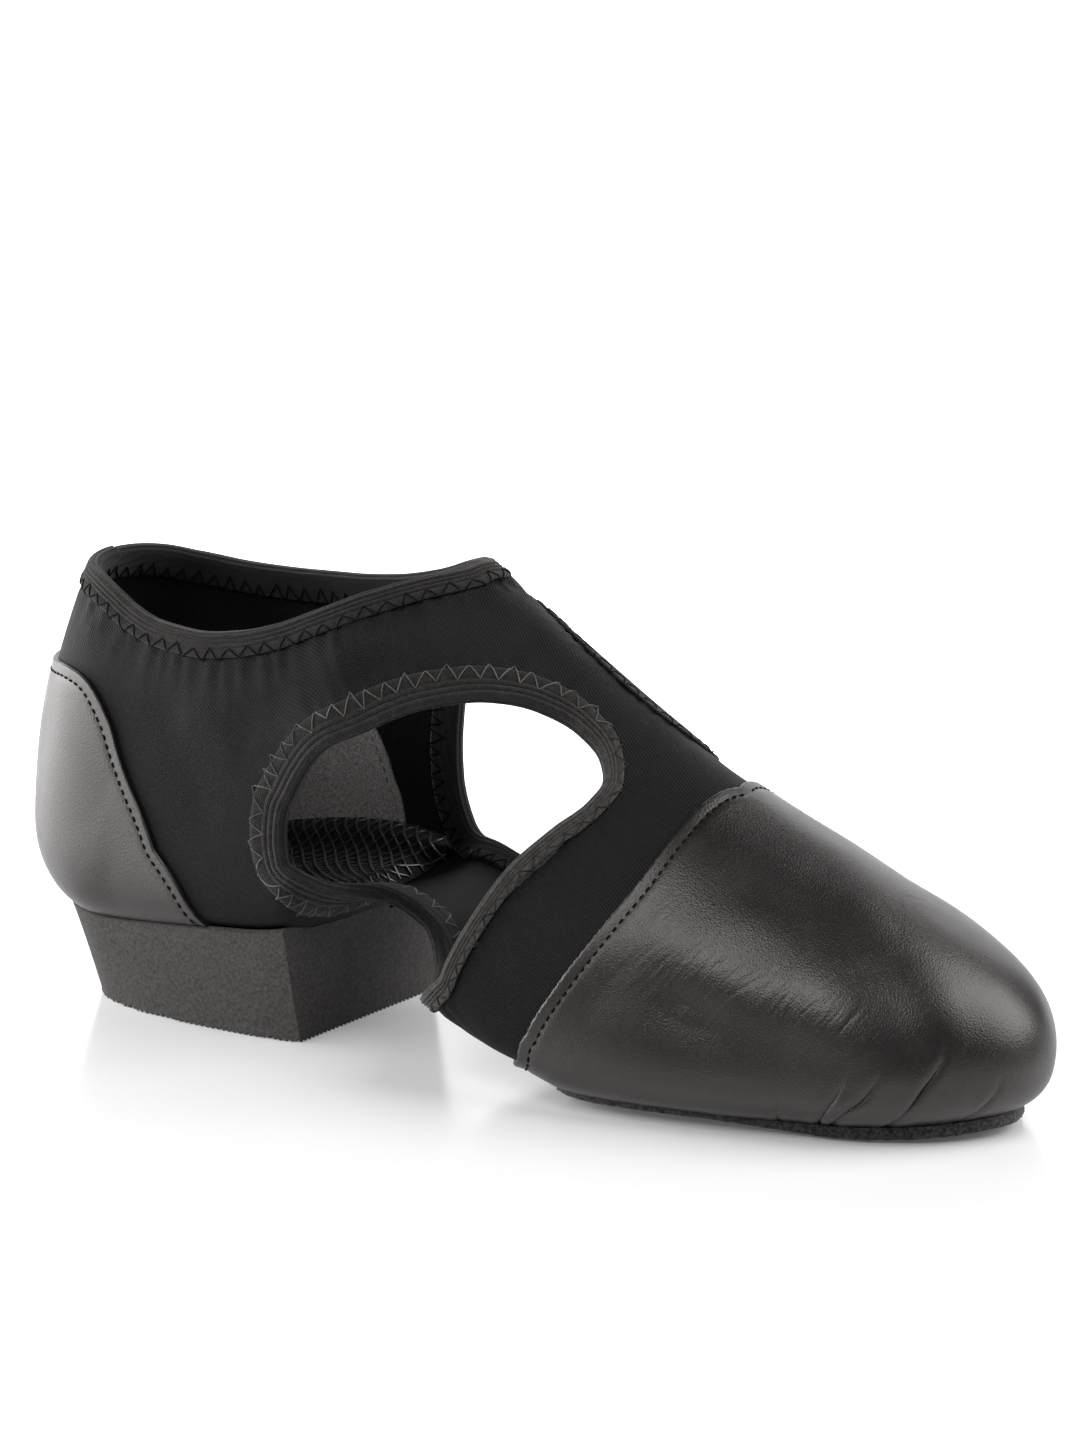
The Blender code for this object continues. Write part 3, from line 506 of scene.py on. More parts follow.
class Net:
    """Triangles over a part of the last, with every line lying on their edges."""

    def __init__(self, outline, loops=(), lines=(), step=1.6, rise=0.03, dense=None):
        points, edges, count = [], [], 0
        tracks = [(track, True) for track in (outline, *loops)] + [(track, False) for track in lines]
        for track, closed in tracks:
            n = len(track)
            edges += [(count + i, count + (i + 1) % n) for i in range(n if closed else n - 1)]
            points.append(track)
            count += n
        fixed = np.vstack(points)
        spots = self.filling(fixed, outline, step, rise)
        if dense is not None:
            (s0, s1), (v0, v1) = dense
            corners = np.array([(s0, v0), (s1, v0), (s1, v1), (s0, v1)])
            fine = self.filling(fixed, corners, 0.4 * step, 0.4 * rise)
            spots = np.vstack([spots[~inside(spots, corners)], fine])
        flat = np.vstack([fixed, spots]) * (1.0, PROFILE_SCALE)
        made = delaunay_2d_cdt([Vector(p) for p in flat.tolist()], edges, [], 0, 1e-4)
        self.flat = np.array([(p.x, p.y / PROFILE_SCALE) for p in made[0]])
        self.flat[:, 1] = np.clip(self.flat[:, 1], 0.0, 2.0)
        self.raw = np.array([tuple(face) for face in made[2]])
        self.raw = self.raw[inside(self.flat[self.raw].mean(axis=1), outline)]
        for loop in loops:
            self.drop(loop)
        self.weld()

    @staticmethod
    def filling(fixed, outline, step, rise):
        """Free points inside, about one step apart."""
        rows = []
        runs = np.linspace(outline[:, 0].min(), outline[:, 0].max(), 2400)
        levels = np.arange(0.5 * rise, 2.0, rise)
        levels = levels[(levels > outline[:, 1].min()) & (levels < outline[:, 1].max())]
        for k, v in enumerate(levels):
            way = lengths(on_last(runs, v))
            s = np.interp(np.arange(0.5 * step * (1 + k % 2), way[-1], step), way, runs)
            rows.append(np.stack([s, np.full_like(s, v)], -1))
        spots = np.vstack(rows)
        spots = spots[inside(spots, outline)]
        gap = nearest(points_of(spots), points_of(fixed))[1]
        return spots[gap > 0.55 * step]

    def drop(self, loop):
        """Leave out the triangles inside a closed track."""
        self.raw = self.raw[~inside(self.flat[self.raw].mean(axis=1), loop)]

    def weld(self):
        """Make one corner of all that fall on the same place."""
        points = points_of(self.flat)
        tree = tree_of(points)
        first = np.array([min(hit[1] for hit in tree.find_range(p, 0.01)) for p in points])
        c = first[self.raw]
        whole = (c[:, 0] != c[:, 1]) & (c[:, 1] != c[:, 2]) & (c[:, 0] != c[:, 2])
        self.raw = self.raw[whole]
        self.corners = c[whole]


class Parts:
    """Points and faces of one piece, put together from many bits."""

    def __init__(self):
        self.points, self.faces, self.uv, self.count = [], [], [], 0

    def add(self, points, faces, uv=None):
        """Faces are an array of corners; uv holds one row per corner of each face."""
        faces = np.asarray(faces)
        self.points.append(np.asarray(points, float))
        self.faces.extend((faces + self.count).tolist())
        self.uv.append(np.zeros((faces.size, 2)) if uv is None else np.asarray(uv, float).reshape(-1, 2))
        self.count += len(points)

    def piece(self, name, look, slot, replaces=None, sharp=40.0):
        moved = (np.vstack(self.points) - (MIDDLE[0], MIDDLE[1], 0.0)) * MM
        mesh = bpy.data.meshes.new(name)
        mesh.from_pydata(moved.tolist(), [], self.faces)
        layer = mesh.uv_layers.new(name="Cloth")
        layer.uv.foreach_set("vector", np.vstack(self.uv).astype(np.float32).ravel())
        mesh.shade_smooth()
        mesh.set_sharp_from_angle(angle=math.radians(sharp))
        mesh.materials.append(look)
        made = bpy.data.objects.new(name, mesh)
        bpy.context.scene.collection.objects.link(made)
        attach(made, "root")
        if replaces:
            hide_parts(replaces)
        return made


def shell(net, outer, inner):
    """A piece of the net with an outer and an inner face and walls round its edges."""
    used, local = np.unique(net.corners, return_inverse=True)
    local = local.reshape(net.corners.shape)
    s, v = net.flat[used].T
    count = len(used)
    points = np.vstack([outer(s, v), inner(s, v)])
    corner_uv = cloth_uv(*net.flat[net.raw.ravel()].T).reshape(-1, 3, 2)
    parts = Parts()
    parts.points.append(points)
    parts.count = len(points)
    parts.faces.extend(local.tolist())
    parts.faces.extend((local[:, ::-1] + count).tolist())
    parts.uv.extend([corner_uv.reshape(-1, 2), corner_uv[:, ::-1].reshape(-1, 2)])
    one_way = np.vstack([local[:, [0, 1]], local[:, [1, 2]], local[:, [2, 0]]])
    key = one_way[:, 0] * count + one_way[:, 1]
    back = one_way[:, 1] * count + one_way[:, 0]
    rim = one_way[~np.isin(key, back)]
    parts.faces.extend(np.stack([rim[:, 1], rim[:, 0], rim[:, 0] + count, rim[:, 1] + count], -1).tolist())
    parts.uv.append(np.zeros((4 * len(rim), 2)))
    return parts


def ring_faces(count, rows):
    """Quads between closed rows of count points each."""
    i = np.arange(count)
    j = (i + 1) % count
    bands = [np.stack([k * count + i, k * count + j, (k + 1) * count + j, (k + 1) * count + i], -1)
             for k in range(rows - 1)]
    return np.vstack(bands)


def thread(parts, path, radius, hint, sides=6):
    """One thin thread along a path, its ends narrowed to under half its radius and closed."""
    ahead = unit(np.gradient(path, axis=0))
    side = unit(np.cross(ahead, hint))
    up = np.cross(side, ahead)
    turn = 2 * np.pi * np.arange(sides) / sides
    taper = np.ones(len(path))
    taper[[0, -1]] = 0.45
    ring = np.cos(turn)[None, :, None] * side[:, None] + np.sin(turn)[None, :, None] * up[:, None]
    points = (path[:, None] + radius * taper[:, None, None] * ring).reshape(-1, 3)
    parts.add(points, ring_faces(sides, len(path)))
    first = np.arange(sides)[::-1] + parts.count - len(points)
    last = np.arange(sides) + parts.count - sides
    parts.faces.extend([first.tolist(), last.tolist()])
    parts.uv.append(np.zeros((2 * sides, 2)))


class Look:
    """A material with one Principled shader and short ways to add nodes."""

    def __init__(self, name, rough, **sockets):
        self.made = bpy.data.materials.new(name)
        self.made.use_nodes = True
        self.tree = self.made.node_tree
        self.shader = self.tree.nodes["Principled BSDF"]
        self.shader.inputs["Roughness"].default_value = rough
        for key, value in sockets.items():
            self.shader.inputs[key.replace("_", " ")].default_value = value

    def add(self, kind, named=None, **settings):
        node = self.tree.nodes.new("ShaderNode" + kind)
        for key, value in settings.items():
            setattr(node, key, value)
        for key, value in (named or {}).items():
            if isinstance(value, bpy.types.NodeSocket):
                self.tree.links.new(value, node.inputs[key])
            else:
                node.inputs[key].default_value = value
        return node

    def place(self):
        return self.add("TexCoord").outputs["Object"]

    def weave(self):
        return self.add("UVMap", uv_map="Cloth").outputs["UV"]

    def noise(self, scale, detail=3.0, rough=0.55, at=None):
        spot = at or self.place()
        named = {"Vector": spot, "Scale": scale, "Detail": detail, "Roughness": rough}
        return self.add("TexNoise", named).outputs["Fac"]

    def math(self, operation, a, b=0.0):
        return self.add("Math", {0: a, 1: b}, operation=operation).outputs[0]

    def stripes(self, direction, pitch):
        """A wave between -1 and 1 that repeats after a pitch along a direction of the weave."""
        named = {0: self.weave(), 1: direction}
        dot = self.add("VectorMath", named, operation="DOT_PRODUCT").outputs["Value"]
        return self.math("SINE", self.math("MULTIPLY", dot, 2 * math.pi / pitch))

    def colour(self, fac, dark, light, low, high):
        ramp = self.add("ValToRGB", {"Fac": fac})
        ramp.color_ramp.elements[0].position = low
        ramp.color_ramp.elements[1].position = high
        ramp.color_ramp.elements[0].color = (*dark, 1.0)
        ramp.color_ramp.elements[1].color = (*light, 1.0)
        self.tree.links.new(ramp.outputs["Color"], self.shader.inputs["Base Color"])

    def range(self, fac, low, high):
        return self.add("MapRange", {"Value": fac, "To Min": low, "To Max": high}).outputs["Result"]

    def roughness(self, fac, low, high):
        self.tree.links.new(self.range(fac, low, high), self.shader.inputs["Roughness"])

    def bump(self, *layers):
        """Heights laid over each other; each layer is (height, distance in metres, strength)."""
        before = None
        for height, distance, strength in layers:
            named = {"Height": height, "Distance": distance, "Strength": strength}
            if before is not None:
                named["Normal"] = before
            before = self.add("Bump", named).outputs["Normal"]
        self.tree.links.new(before, self.shader.inputs["Normal"])


def fabric_look():
    look = Look("black_twill", 0.6, Specular_IOR_Level=0.15)
    twill = look.stripes((0.62, 0.78, 0.0), 0.62)
    cross = look.stripes((0.80, -0.60, 0.0), 0.42)
    cloud = look.noise(55.0, 4.0)
    speck = look.noise(1700.0, 3.0, 0.7)
    tone = look.math("ADD", look.math("MULTIPLY", twill, 0.15), look.math("MULTIPLY", cloud, 0.35))
    tone = look.math("ADD", tone, look.math("MULTIPLY", speck, 0.65))
    look.colour(tone, (0.0005, 0.0005, 0.0006), (0.0076, 0.0072, 0.0077), 0.22, 0.80)
    weave = look.math("ADD", twill, look.math("MULTIPLY", cross, 0.35))
    look.bump((look.noise(420.0, 3.0), 0.00012, 0.35), (weave, 0.00007, 0.7))
    return look.made


def leather_look():
    look = Look("black_nappa", 0.42, Specular_IOR_Level=0.64, Coat_Weight=0.05, Coat_Roughness=0.28)
    look.shader.inputs["Specular Tint"].default_value = (1.0, 0.94, 0.92, 1.0)
    cloud = look.noise(38.0, 4.0)
    look.colour(cloud, (0.0050, 0.0045, 0.0042), (0.0090, 0.0082, 0.0077), 0.3, 0.75)
    spot = look.place()
    grain = look.add("TexVoronoi", {"Vector": spot, "Scale": 1500.0}, feature="DISTANCE_TO_EDGE")
    pores = look.noise(2400.0, 2.0, at=spot)
    look.roughness(look.noise(120.0, 4.0, at=spot), 0.31, 0.43)
    named = {"Vector": look.weave(), "Rotation": (0.0, 0.0, 0.95), "Scale": (6.0, 1.15, 1.0)}
    drawn = look.add("Mapping", named, vector_type="TEXTURE")
    folds = look.noise(1.0, 1.3, 0.5, drawn.outputs["Vector"])
    mask = look.add("Attribute", attribute_name="creased").outputs["Fac"]
    look.bump(
        (look.math("MULTIPLY", folds, mask), 0.0003, 0.55),
        (grain.outputs["Distance"], 0.00013, 0.6),
        (pores, 0.00005, 0.4),
    )
    return look.made


def tape_look():
    look = Look("ribbed_tape", 0.82, Specular_IOR_Level=0.2, Sheen_Weight=0.2, Sheen_Roughness=0.45)
    look.shader.inputs["Sheen Tint"].default_value = (0.8, 0.76, 0.74, 1.0)
    along = look.stripes((1.0, 0.0, 0.0), 0.62)
    slant = look.stripes((0.75, 0.66, 0.0), 0.5)
    knit = look.math("MULTIPLY", along, look.stripes((0.0, 1.0, 0.0), 0.55))
    fuzz = look.noise(2200.0, 3.0)
    tone = look.math("ADD", look.math("MULTIPLY", knit, 0.3), look.noise(800.0, 3.0, 0.8))
    across = look.add("SeparateXYZ", {0: look.weave()}).outputs["Y"]
    named = {"Value": across, "From Min": 9.0, "From Max": 12.0, "To Min": 1.0, "To Max": 0.45}
    tone = look.math("MULTIPLY", tone, look.add("MapRange", named).outputs["Result"])
    # Painted light: the tape is lighter where its outer leg lies ahead of the edge, and darker elsewhere.
    lit_front = look.add("Attribute", attribute_name="lit_front").outputs["Fac"]
    tone = look.math("MULTIPLY", tone, look.range(lit_front, 0.58, 1.3))
    look.colour(tone, (0.006, 0.0056, 0.0054), (0.078, 0.073, 0.070), 0.25, 0.9)
    relief = look.math("ADD", knit, look.math("MULTIPLY", slant, 0.5))
    look.bump((relief, 0.00010, 0.55), (fuzz, 0.00014, 0.5))
    return look.made


def plain_look(name, dark, light, rough, scale, bump, sheen=0.0, gloss=0.3):
    """A speckled matt material: two tones and a fine relief from one noise."""
    look = Look(name, rough, Specular_IOR_Level=gloss, Sheen_Weight=sheen)
    speck = look.noise(scale, 3.0)
    look.colour(speck, dark, light, 0.35, 0.7)
    look.bump((speck, bump, 0.6))
    return look.made


FABRIC = fabric_look()
NAPPA = leather_look()
TAPE = tape_look()
# Columns: name, dark tone, light tone, roughness, noise scale, relief in metres.
THREAD = plain_look("grey_thread", (0.018, 0.017, 0.016), (0.12, 0.115, 0.11), 0.7, 90.0, 0.00005, sheen=0.3)
DARK_THREAD = plain_look(
    "black_thread", (0.0012, 0.0012, 0.0012), (0.004, 0.004, 0.004), 0.8, 1800.0, 0.00005, gloss=0.1)
DIM_THREAD = plain_look(
    "dim_thread", (0.003, 0.003, 0.003), (0.05, 0.047, 0.045), 0.75, 120.0, 0.00005, gloss=0.15)
FELT = plain_look("grey_felt", (0.13, 0.125, 0.122), (0.31, 0.296, 0.29), 0.95, 1900.0, 0.0003, sheen=0.2)
SUEDE = plain_look(
    "dark_suede", (0.008, 0.0074, 0.0072), (0.075, 0.070, 0.068), 0.98, 1500.0, 0.0005, sheen=0.3)
RUBBER = plain_look("foam_rubber", (0.030, 0.0276, 0.0267), (0.072, 0.067, 0.0648), 0.72, 1500.0, 0.00018)
MESH = plain_look(
    "mesh_yarn", (0.006, 0.0055, 0.005), (0.022, 0.020, 0.019), 0.36, 2500.0, 0.00005, sheen=0.2, gloss=0.6)
FOAM = plain_look("sock_cloth", (0.003, 0.003, 0.003), (0.007, 0.007, 0.007), 0.9, 900.0, 0.0001)

RANDOM = np.random.default_rng(7)
PUCKER_FADE = 3.6           # millimetres over which the gathers of the fabric run out


def fold_places(points, table, step):
    """Each fold of a table, with the share along it and the gap to it for every point."""
    for width, height, places in table:
        track = resample(smooth(places), step)
        index, gap = nearest(points, points_of(track))
        yield width, height, index / (len(track) - 1), gap


def creases(points, table):
    """Lift from listed folds; each row is (width, lift, places as (run, v))."""
    lift = np.zeros(len(points))
    for width, height, along, gap in fold_places(points, table, 0.4):
        lift += height * ease(np.minimum(along, 1 - along) * 4.0) * np.exp(-((gap / width) ** 2))
    return lift


def puckers(points, edge, pitch, start, depth):
    """Short gathers that run out of a stitched edge; edge is a closed line of close points."""
    index, gap = nearest(points, edge)
    way = lengths(np.vstack([edge, edge[:1]]))
    at = way[index] / pitch
    knots = np.arange(int(at.max()) + 3)
    size = RANDOM.uniform(0.35, 1.0, len(knots))
    shift = RANDOM.uniform(-0.35, 0.35, len(knots))
    wave = np.cos(2 * np.pi * (at + np.interp(at, knots, shift)))
    out = np.clip(gap - start, 0.0, None)
    return depth * np.interp(at, knots, size) * wave * np.exp(-out / PUCKER_FADE) * (gap > start - 1.5)


def border(step):
    """Edge of the flat net of the whole upper: under the foot, up the heel, along collar and ridge."""
    under_x = np.arange(HEEL_AXIS, TOE_AXIS + 0.1, 1.5)
    ridge_x = np.linspace(THROAT, TOE_AXIS, 68)
    outer = collar_edge("lateral", step)
    inner = collar_edge("medial", step)
    inner[:, 0] += TOTAL
    back_v = np.linspace(0.0, outer[0, 1], 60)
    return np.vstack([
        [(0.0, 0.0)],
        level("lateral", under_x, 0.0),
        level("medial", under_x[::-1], 0.0),
        [(TOTAL, 0.0)],
        np.stack([np.full_like(back_v, TOTAL), back_v], -1)[1:-1],
        inner,
        level("medial", ridge_x, 2.0)[1:],
        level("lateral", ridge_x[::-1], 2.0)[:-1],
        outer[::-1],
        np.stack([np.zeros_like(back_v), back_v], -1)[::-1][1:-1],
    ])


def collar_loop(step):
    """Closed track of the whole collar with the fabric on its left-hand side."""
    outer = collar_edge("lateral", step)
    inner = collar_edge("medial", step)[::-1][1:-1]
    inner[:, 0] += TOTAL
    return np.vstack([outer, inner])[::-1].copy()


def close_below(line):
    """A heel line closed along the centre line under the foot."""
    return np.vstack([line, [(line[-1, 0], 0.0), (line[0, 0], 0.0)]])


# Soft folds of the quarters and the instep: width, lift, places as (run, v).
UPPER_FOLDS = [
    (5.0, -0.9, [(100, 1.30), (112, 1.36), (121, 1.50), (128, 1.60)]),
    (6.0, 0.7, [(104, 1.42), (116, 1.50), (126, 1.63), (133, 1.74)]),
    (4.0, -0.5, [(84, 1.20), (94, 1.27), (104, 1.31)]),
    (5.0, 0.5, [(70, 1.24), (80, 1.22), (92, 1.20)]),
    (5.0, -0.5, [(62, 1.28), (74, 1.16), (84, 1.02)]),
    (4.0, -0.6, [(140, 1.90), (148, 1.86), (158, 1.84)]),
    (4.0, 0.5, [(142, 1.80), (152, 1.80), (160, 1.82)]),
    (4.5, -0.5, [(150, 1.30), (160, 1.36), (168, 1.50)]),
    (4.5, -0.6, [(-100, 1.32), (-112, 1.42), (-122, 1.52)]),
    (5.0, 0.5, [(-76, 1.22), (-88, 1.22), (-98, 1.24)]),
    (5.0, -0.5, [(-64, 1.26), (-76, 1.14), (-86, 1.0)]),
]


def make_upper():
    loops = [cutout_edge(side, 1.3) for side in SIDES]
    ball = forefoot_line(FOREFOOT_OPENING, FOREFOOT_TOE, 2.0)
    seats = []
    for side in SIDES:
        seat = side_track(side, HEEL_OPENING, 2.0, by_run=True)
        if side == "medial":
            seat[:, 0] += TOTAL
        seats.append(seat)
    net = Net(border(1.3), loops, [ball, *seats], step=1.5, rise=0.026)
    net.drop(np.vstack([ball, ball[:1]]))
    for seat in seats:
        net.drop(close_below(seat))
    net.weld()
    # Edge, pitch and depth of its gathers.
    edges = [(collar_loop(0.5), 4.2, 0.62)] + [(cutout_edge(side, 0.5), 3.4, 0.32) for side in SIDES]

    def outer(s, v):
        bare = on_last(s, v)
        lift = creases(bare, UPPER_FOLDS)
        for track, pitch, depth in edges:
            lift += puckers(bare, points_of(track), pitch, TAPE_WIDTH, depth)
        under_cap = nearest(bare, CAP_LINE)[1] < 3.0
        return place(s, v, np.where(under_cap, 0.3 * lift, lift))

    shell(net, outer, at_height(-WALL)).piece("fabric_upper", FABRIC, "stretch_fabric", "upper")


# Section of the folded tape as (distance from the edge into the fabric, height), outer leg first.
TAPE_OUTER = [
    (4.9, 0.02), (5.95, 0.36), (6.06, 0.54), (5.85, 0.74), (5.4, 0.82), (4.8, 0.84), (4.2, 0.82), (3.7, 0.80),
    (3.42, 0.62), (3.15, 0.82), (2.75, 1.0), (2.35, 0.92), (2.1, 0.68), (1.85, 0.92), (1.45, 1.06),
    (1.05, 0.96), (0.82, 0.74), (0.6, 0.98), (0.2, 1.08),
]
TAPE_INNER = [(0.3, -2.5), (1.2, -2.62), (2.6, -2.6), (4.0, -2.58), (5.2, -2.5), (5.85, -2.3), (6.0, -1.5)]
FOLD_REACH = 1.3            # how far the fold stands beyond the fabric's edge
ZIGZAG_ALONG = 0.5          # how far a needle hole strays along the tape and across it
ZIGZAG_ACROSS = 0.6
ZIGZAG_BOW = 0.14           # how far a thread lifts off the tape


def tape_section():
    """The whole section: outer leg, ribbed fold round the edge, inner leg."""
    turn = np.radians(np.linspace(78, -78, 27))
    top, low = TAPE_OUTER[-1][1], TAPE_INNER[0][1]
    rib = 0.11 * np.cos(2 * np.pi * np.degrees(turn) / 44.0)
    across = 0.2 - (FOLD_REACH + 0.1 + rib) * np.cos(turn)
    height = 0.5 * (top + low) + (0.5 * (top - low) + rib) * np.sin(turn)
    return np.vstack([TAPE_OUTER, np.stack([across, height], -1), TAPE_INNER])


class Edge:
    """A taped edge: its stations, and a way to find places beside it at a height.

    Without a given width the tape's outer leg is wider behind the edge and narrower ahead of it, and the tape
    gets a lighter tone where the outer leg lies ahead of the edge: painted light.
    """

    def __init__(self, track, width=None):
        self.s, self.v = track[:, 0], track[:, 1]
        point = points_of(track)
        self.up = normal(self.s, self.v)
        ahead = np.roll(point, -2, axis=0) - np.roll(point, 2, axis=0)
        self.inward = unit(np.cross(self.up, ahead))
        self.way = lengths(np.vstack([point, point[:1]]))
        ahead_share = np.clip(self.inward[:, 0] / 0.8, 0.0, 1.0)
        behind_share = np.clip(-self.inward[:, 0], 0.0, 1.0)
        # Share of painted light on the tape: full where the outer leg lies ahead of the edge.
        self.lit_front = ahead_share
        self.width = 1.0 + 0.2 * behind_share - 0.5 * ahead_share
        if width is not None:
            self.lit_front = np.zeros(len(track))
            self.width = np.full(len(track), width)
        self.depths = np.linspace(0.0, 10.0, 21)
        grid = [step_on_last(self.s, self.v, self.inward, d) for d in self.depths]
        self.base = np.stack([on_last(s, v) for s, v in grid])
        self.rise = np.stack([normal(s, v) for s, v in grid])

    def at(self, index, depth, height):
        """Places at stations (which may lie between two), depths into the fabric and heights."""
        index, depth, height = np.broadcast_arrays(*[np.asarray(a, float) for a in (index, depth, height)])
        count = len(self.s)
        i = np.floor(index).astype(int)
        share = (index - i)[..., None]
        i0, i1 = i % count, (i + 1) % count
        d = np.clip(depth, 0.0, self.depths[-1] - 1e-6) / self.depths[1]
        k = d.astype(int)
        f = (d - k)[..., None]
        out = 0.0
        for j, w in ((i0, 1 - share), (i1, share)):
            base = (1 - f) * self.base[k, j] + f * self.base[k + 1, j]
            rise = (1 - f) * self.rise[k, j] + f * self.rise[k + 1, j]
            past = np.minimum(depth, 0.0)[..., None] * self.inward[j]
            out = out + w * (base + height[..., None] * unit(rise) + past)
        return out


def mark(made, name, amount):
    """Write one number per point of a piece, which its material reads by name."""
    values = made.data.attributes.new(name, "FLOAT", "POINT")
    values.data.foreach_set("value", amount.astype(np.float32))


def make_tape(name, edge, node):
    section = tape_section()
    count = len(edge.s)
    rings = [edge.at(np.arange(count), d * np.where(h > 0 and d > 0, edge.width, 1.0), h) for d, h in section]
    across = np.append(0.0, np.cumsum(np.hypot(*np.diff(section, axis=0).T)))
    parts = Parts()
    faces = ring_faces(count, len(rings))[:, ::-1]
    u = np.stack([edge.way[:-1], edge.way[1:], edge.way[1:], edge.way[:-1]], -1)
    uv = []
    for k in range(len(rings) - 1):
        w = np.broadcast_to(across[[k, k, k + 1, k + 1]], u.shape)
        uv.append(np.stack([u, w], -1)[:, ::-1])
    i = np.arange(count)
    last = (len(rings) - 1) * count
    closing = np.stack([last + i, last + (i + 1) % count, (i + 1) % count, i], -1)[:, ::-1]
    parts.add(np.vstack(rings), np.vstack([faces, closing]), np.vstack(uv + [np.zeros((count, 4, 2))]))
    made = parts.piece(name, TAPE, "elastic_tape", node, sharp=70.0)
    # The tape's material reads this to paint light on the leg ahead of the edge.
    mark(made, "lit_front", np.tile(edge.lit_front, len(rings)))


def zigzag(light, dim, edge, pitch, near, far, height, radius):
    """Zig-zag seam over a leg of the tape, dim where the edge looks back; height is the tape's surface."""
    legs = 2 * int(round(edge.way[-1] / pitch))
    marks = np.arange(legs + 1) * edge.way[-1] / legs
    marks[1:-1] += RANDOM.uniform(-ZIGZAG_ALONG, ZIGZAG_ALONG, legs - 1)
    depth = np.where(np.arange(legs + 1) % 2 == 0, near, far)
    depth = depth + RANDOM.uniform(-ZIGZAG_ACROSS, ZIGZAG_ACROSS, legs + 1)
    depth[-1] = depth[0]
    share = np.linspace(0.0, 1.0, 7)
    station_of = np.interp(marks, edge.way, np.arange(len(edge.way)))
    way_up = np.sign(height(1.0))
    for k in range(legs):
        d = depth[k] + (depth[k + 1] - depth[k]) * share
        at = station_of[k] + (station_of[k + 1] - station_of[k]) * share
        h = height(d) + way_up * ZIGZAG_BOW * np.sin(np.pi * np.clip(share, 0.04, 0.96)) ** 0.4
        here = int(station_of[k]) % len(edge.s)
        path = edge.at(at, d * (edge.width[here] if way_up > 0 else 1.0), h)
        thread(dim if edge.inward[here, 0] > 0.3 else light, path, radius, edge.up[here], sides=5)


def surface_of(leg, end, beyond):
    """Height of a leg of the tape against the distance from the edge, and of the fabric beyond its end."""
    rows = np.array(leg)
    return lambda d: np.where(np.asarray(d) > end, beyond, np.interp(d, rows[:, 0], rows[:, 1]))


outer_height = surface_of(TAPE_OUTER[:1:-1], 6.15, 0.06)
inner_height = surface_of(TAPE_INNER, 6.05, -WALL - 0.06)


def make_tapes():
    jobs = (
        # name, track, node, zig-zag pitch, width of the outer leg as a share
        ("collar", collar_loop(0.6), "collar_binding", 4.6, 0.75),
        ("lateral", cutout_edge("lateral", 0.55), "cutout_binding_lateral", 4.0, None),
        ("medial", cutout_edge("medial", 0.55), "cutout_binding_medial", 4.0, None),
    )
    for name, track, node, pitch, width in jobs:
        edge = Edge(track, width)
        make_tape("tape_" + name, edge, node)
        light, dim = Parts(), Parts()
        zigzag(light, dim, edge, pitch, 3.2, 6.7, outer_height, 0.15)
        zigzag(light, dim, edge, 0.8 * pitch, 2.4, 6.7, inner_height, 0.17)
        light.piece("zigzag_" + name, THREAD if name == "lateral" else DARK_THREAD, "elastic_tape")
        dim.piece("zigzag_front_" + name, DIM_THREAD if name == "lateral" else DARK_THREAD, "elastic_tape")


# Height of the leather over the last, against the distance from its cut edge: a lip and a sewn groove.
LIP = np.array([
    (0.0, 0.05), (0.10, 0.90), (0.30, 1.14), (0.7, 1.16), (1.4, 1.08), (2.0, 1.02), (2.3, 0.97), (2.6, 0.92),
    (2.9, 0.98), (3.3, 1.07), (4.2, 1.13), (6.0, LEATHER), (90.0, LEATHER),
], float)
LIP_LINES = LIP[1:-2, 0]
STITCH_DEPTH = 2.6
UNDER_LEATHER = 0.02        # height of the leather's inner face, just clear of the fabric
FORWARD = np.array((1.0, 0.0, 0.0))
TO_HEEL = np.array((-1.0, 0.0, -0.8))

# Broad dents, fine folds and the pleats lasted in at the sole: width, lift, places as (run, v).
CAP_FOLDS = [
    (6.5, 0.5, [(182, 1.40), (191, 1.377), (203, 1.325), (216, 1.30), (226, 1.317), (238, 1.218)]),
    (5.5, -0.7, [(188, 1.23), (197, 1.195), (206, 1.153), (218, 1.105), (234, 1.064), (246, 1.01)]),
    (9.0, -0.6, [(164, 1.25), (176, 1.215), (188, 1.175), (200, 1.135), (214, 1.09)]),
    (6.5, -0.5, [
        (194, 1.54), (200, 1.573), (209, 1.641), (217, 1.66), (227, 1.60), (237, 1.53), (243, 1.37)]),
    (6.0, -0.5, [(234, 1.56), (240, 1.42), (244, 1.28), (247, 1.12), (248, 0.98)]),
    (8.0, 0.3, [(168, 1.02), (175, 1.0), (187, 0.98), (202, 0.93), (218, 0.88)]),
    (9.0, 0.5, [(214, 1.88), (237, 1.80), (257, 1.60), (263, 1.32), (266, 1.14)]),
    (6.0, -0.6, [(-176 + TOTAL, 1.32), (-190 + TOTAL, 1.22), (-206 + TOTAL, 1.14)]),
    (6.0, 0.5, [(-180 + TOTAL, 1.46), (-194 + TOTAL, 1.40), (-210 + TOTAL, 1.32)]),
]
# Fans of fine creases: first and last lower end, how far each runs on, how many.
CREASE_FANS = (
    ((186.0, 1.205), (208.0, 1.165), (15.0, 0.27), 17),
    ((196.0, 1.30), (216.0, 1.32), (10.0, 0.20), 12),
    ((214.0, 1.16), (232.0, 1.13), (8.0, 0.24), 14),
    ((TOTAL - 190.0, 1.20), (TOTAL - 212.0, 1.16), (-13.0, 0.26), 14),
)
CREASED_PATCH = ((184.0, 250.0), (1.10, 1.60))


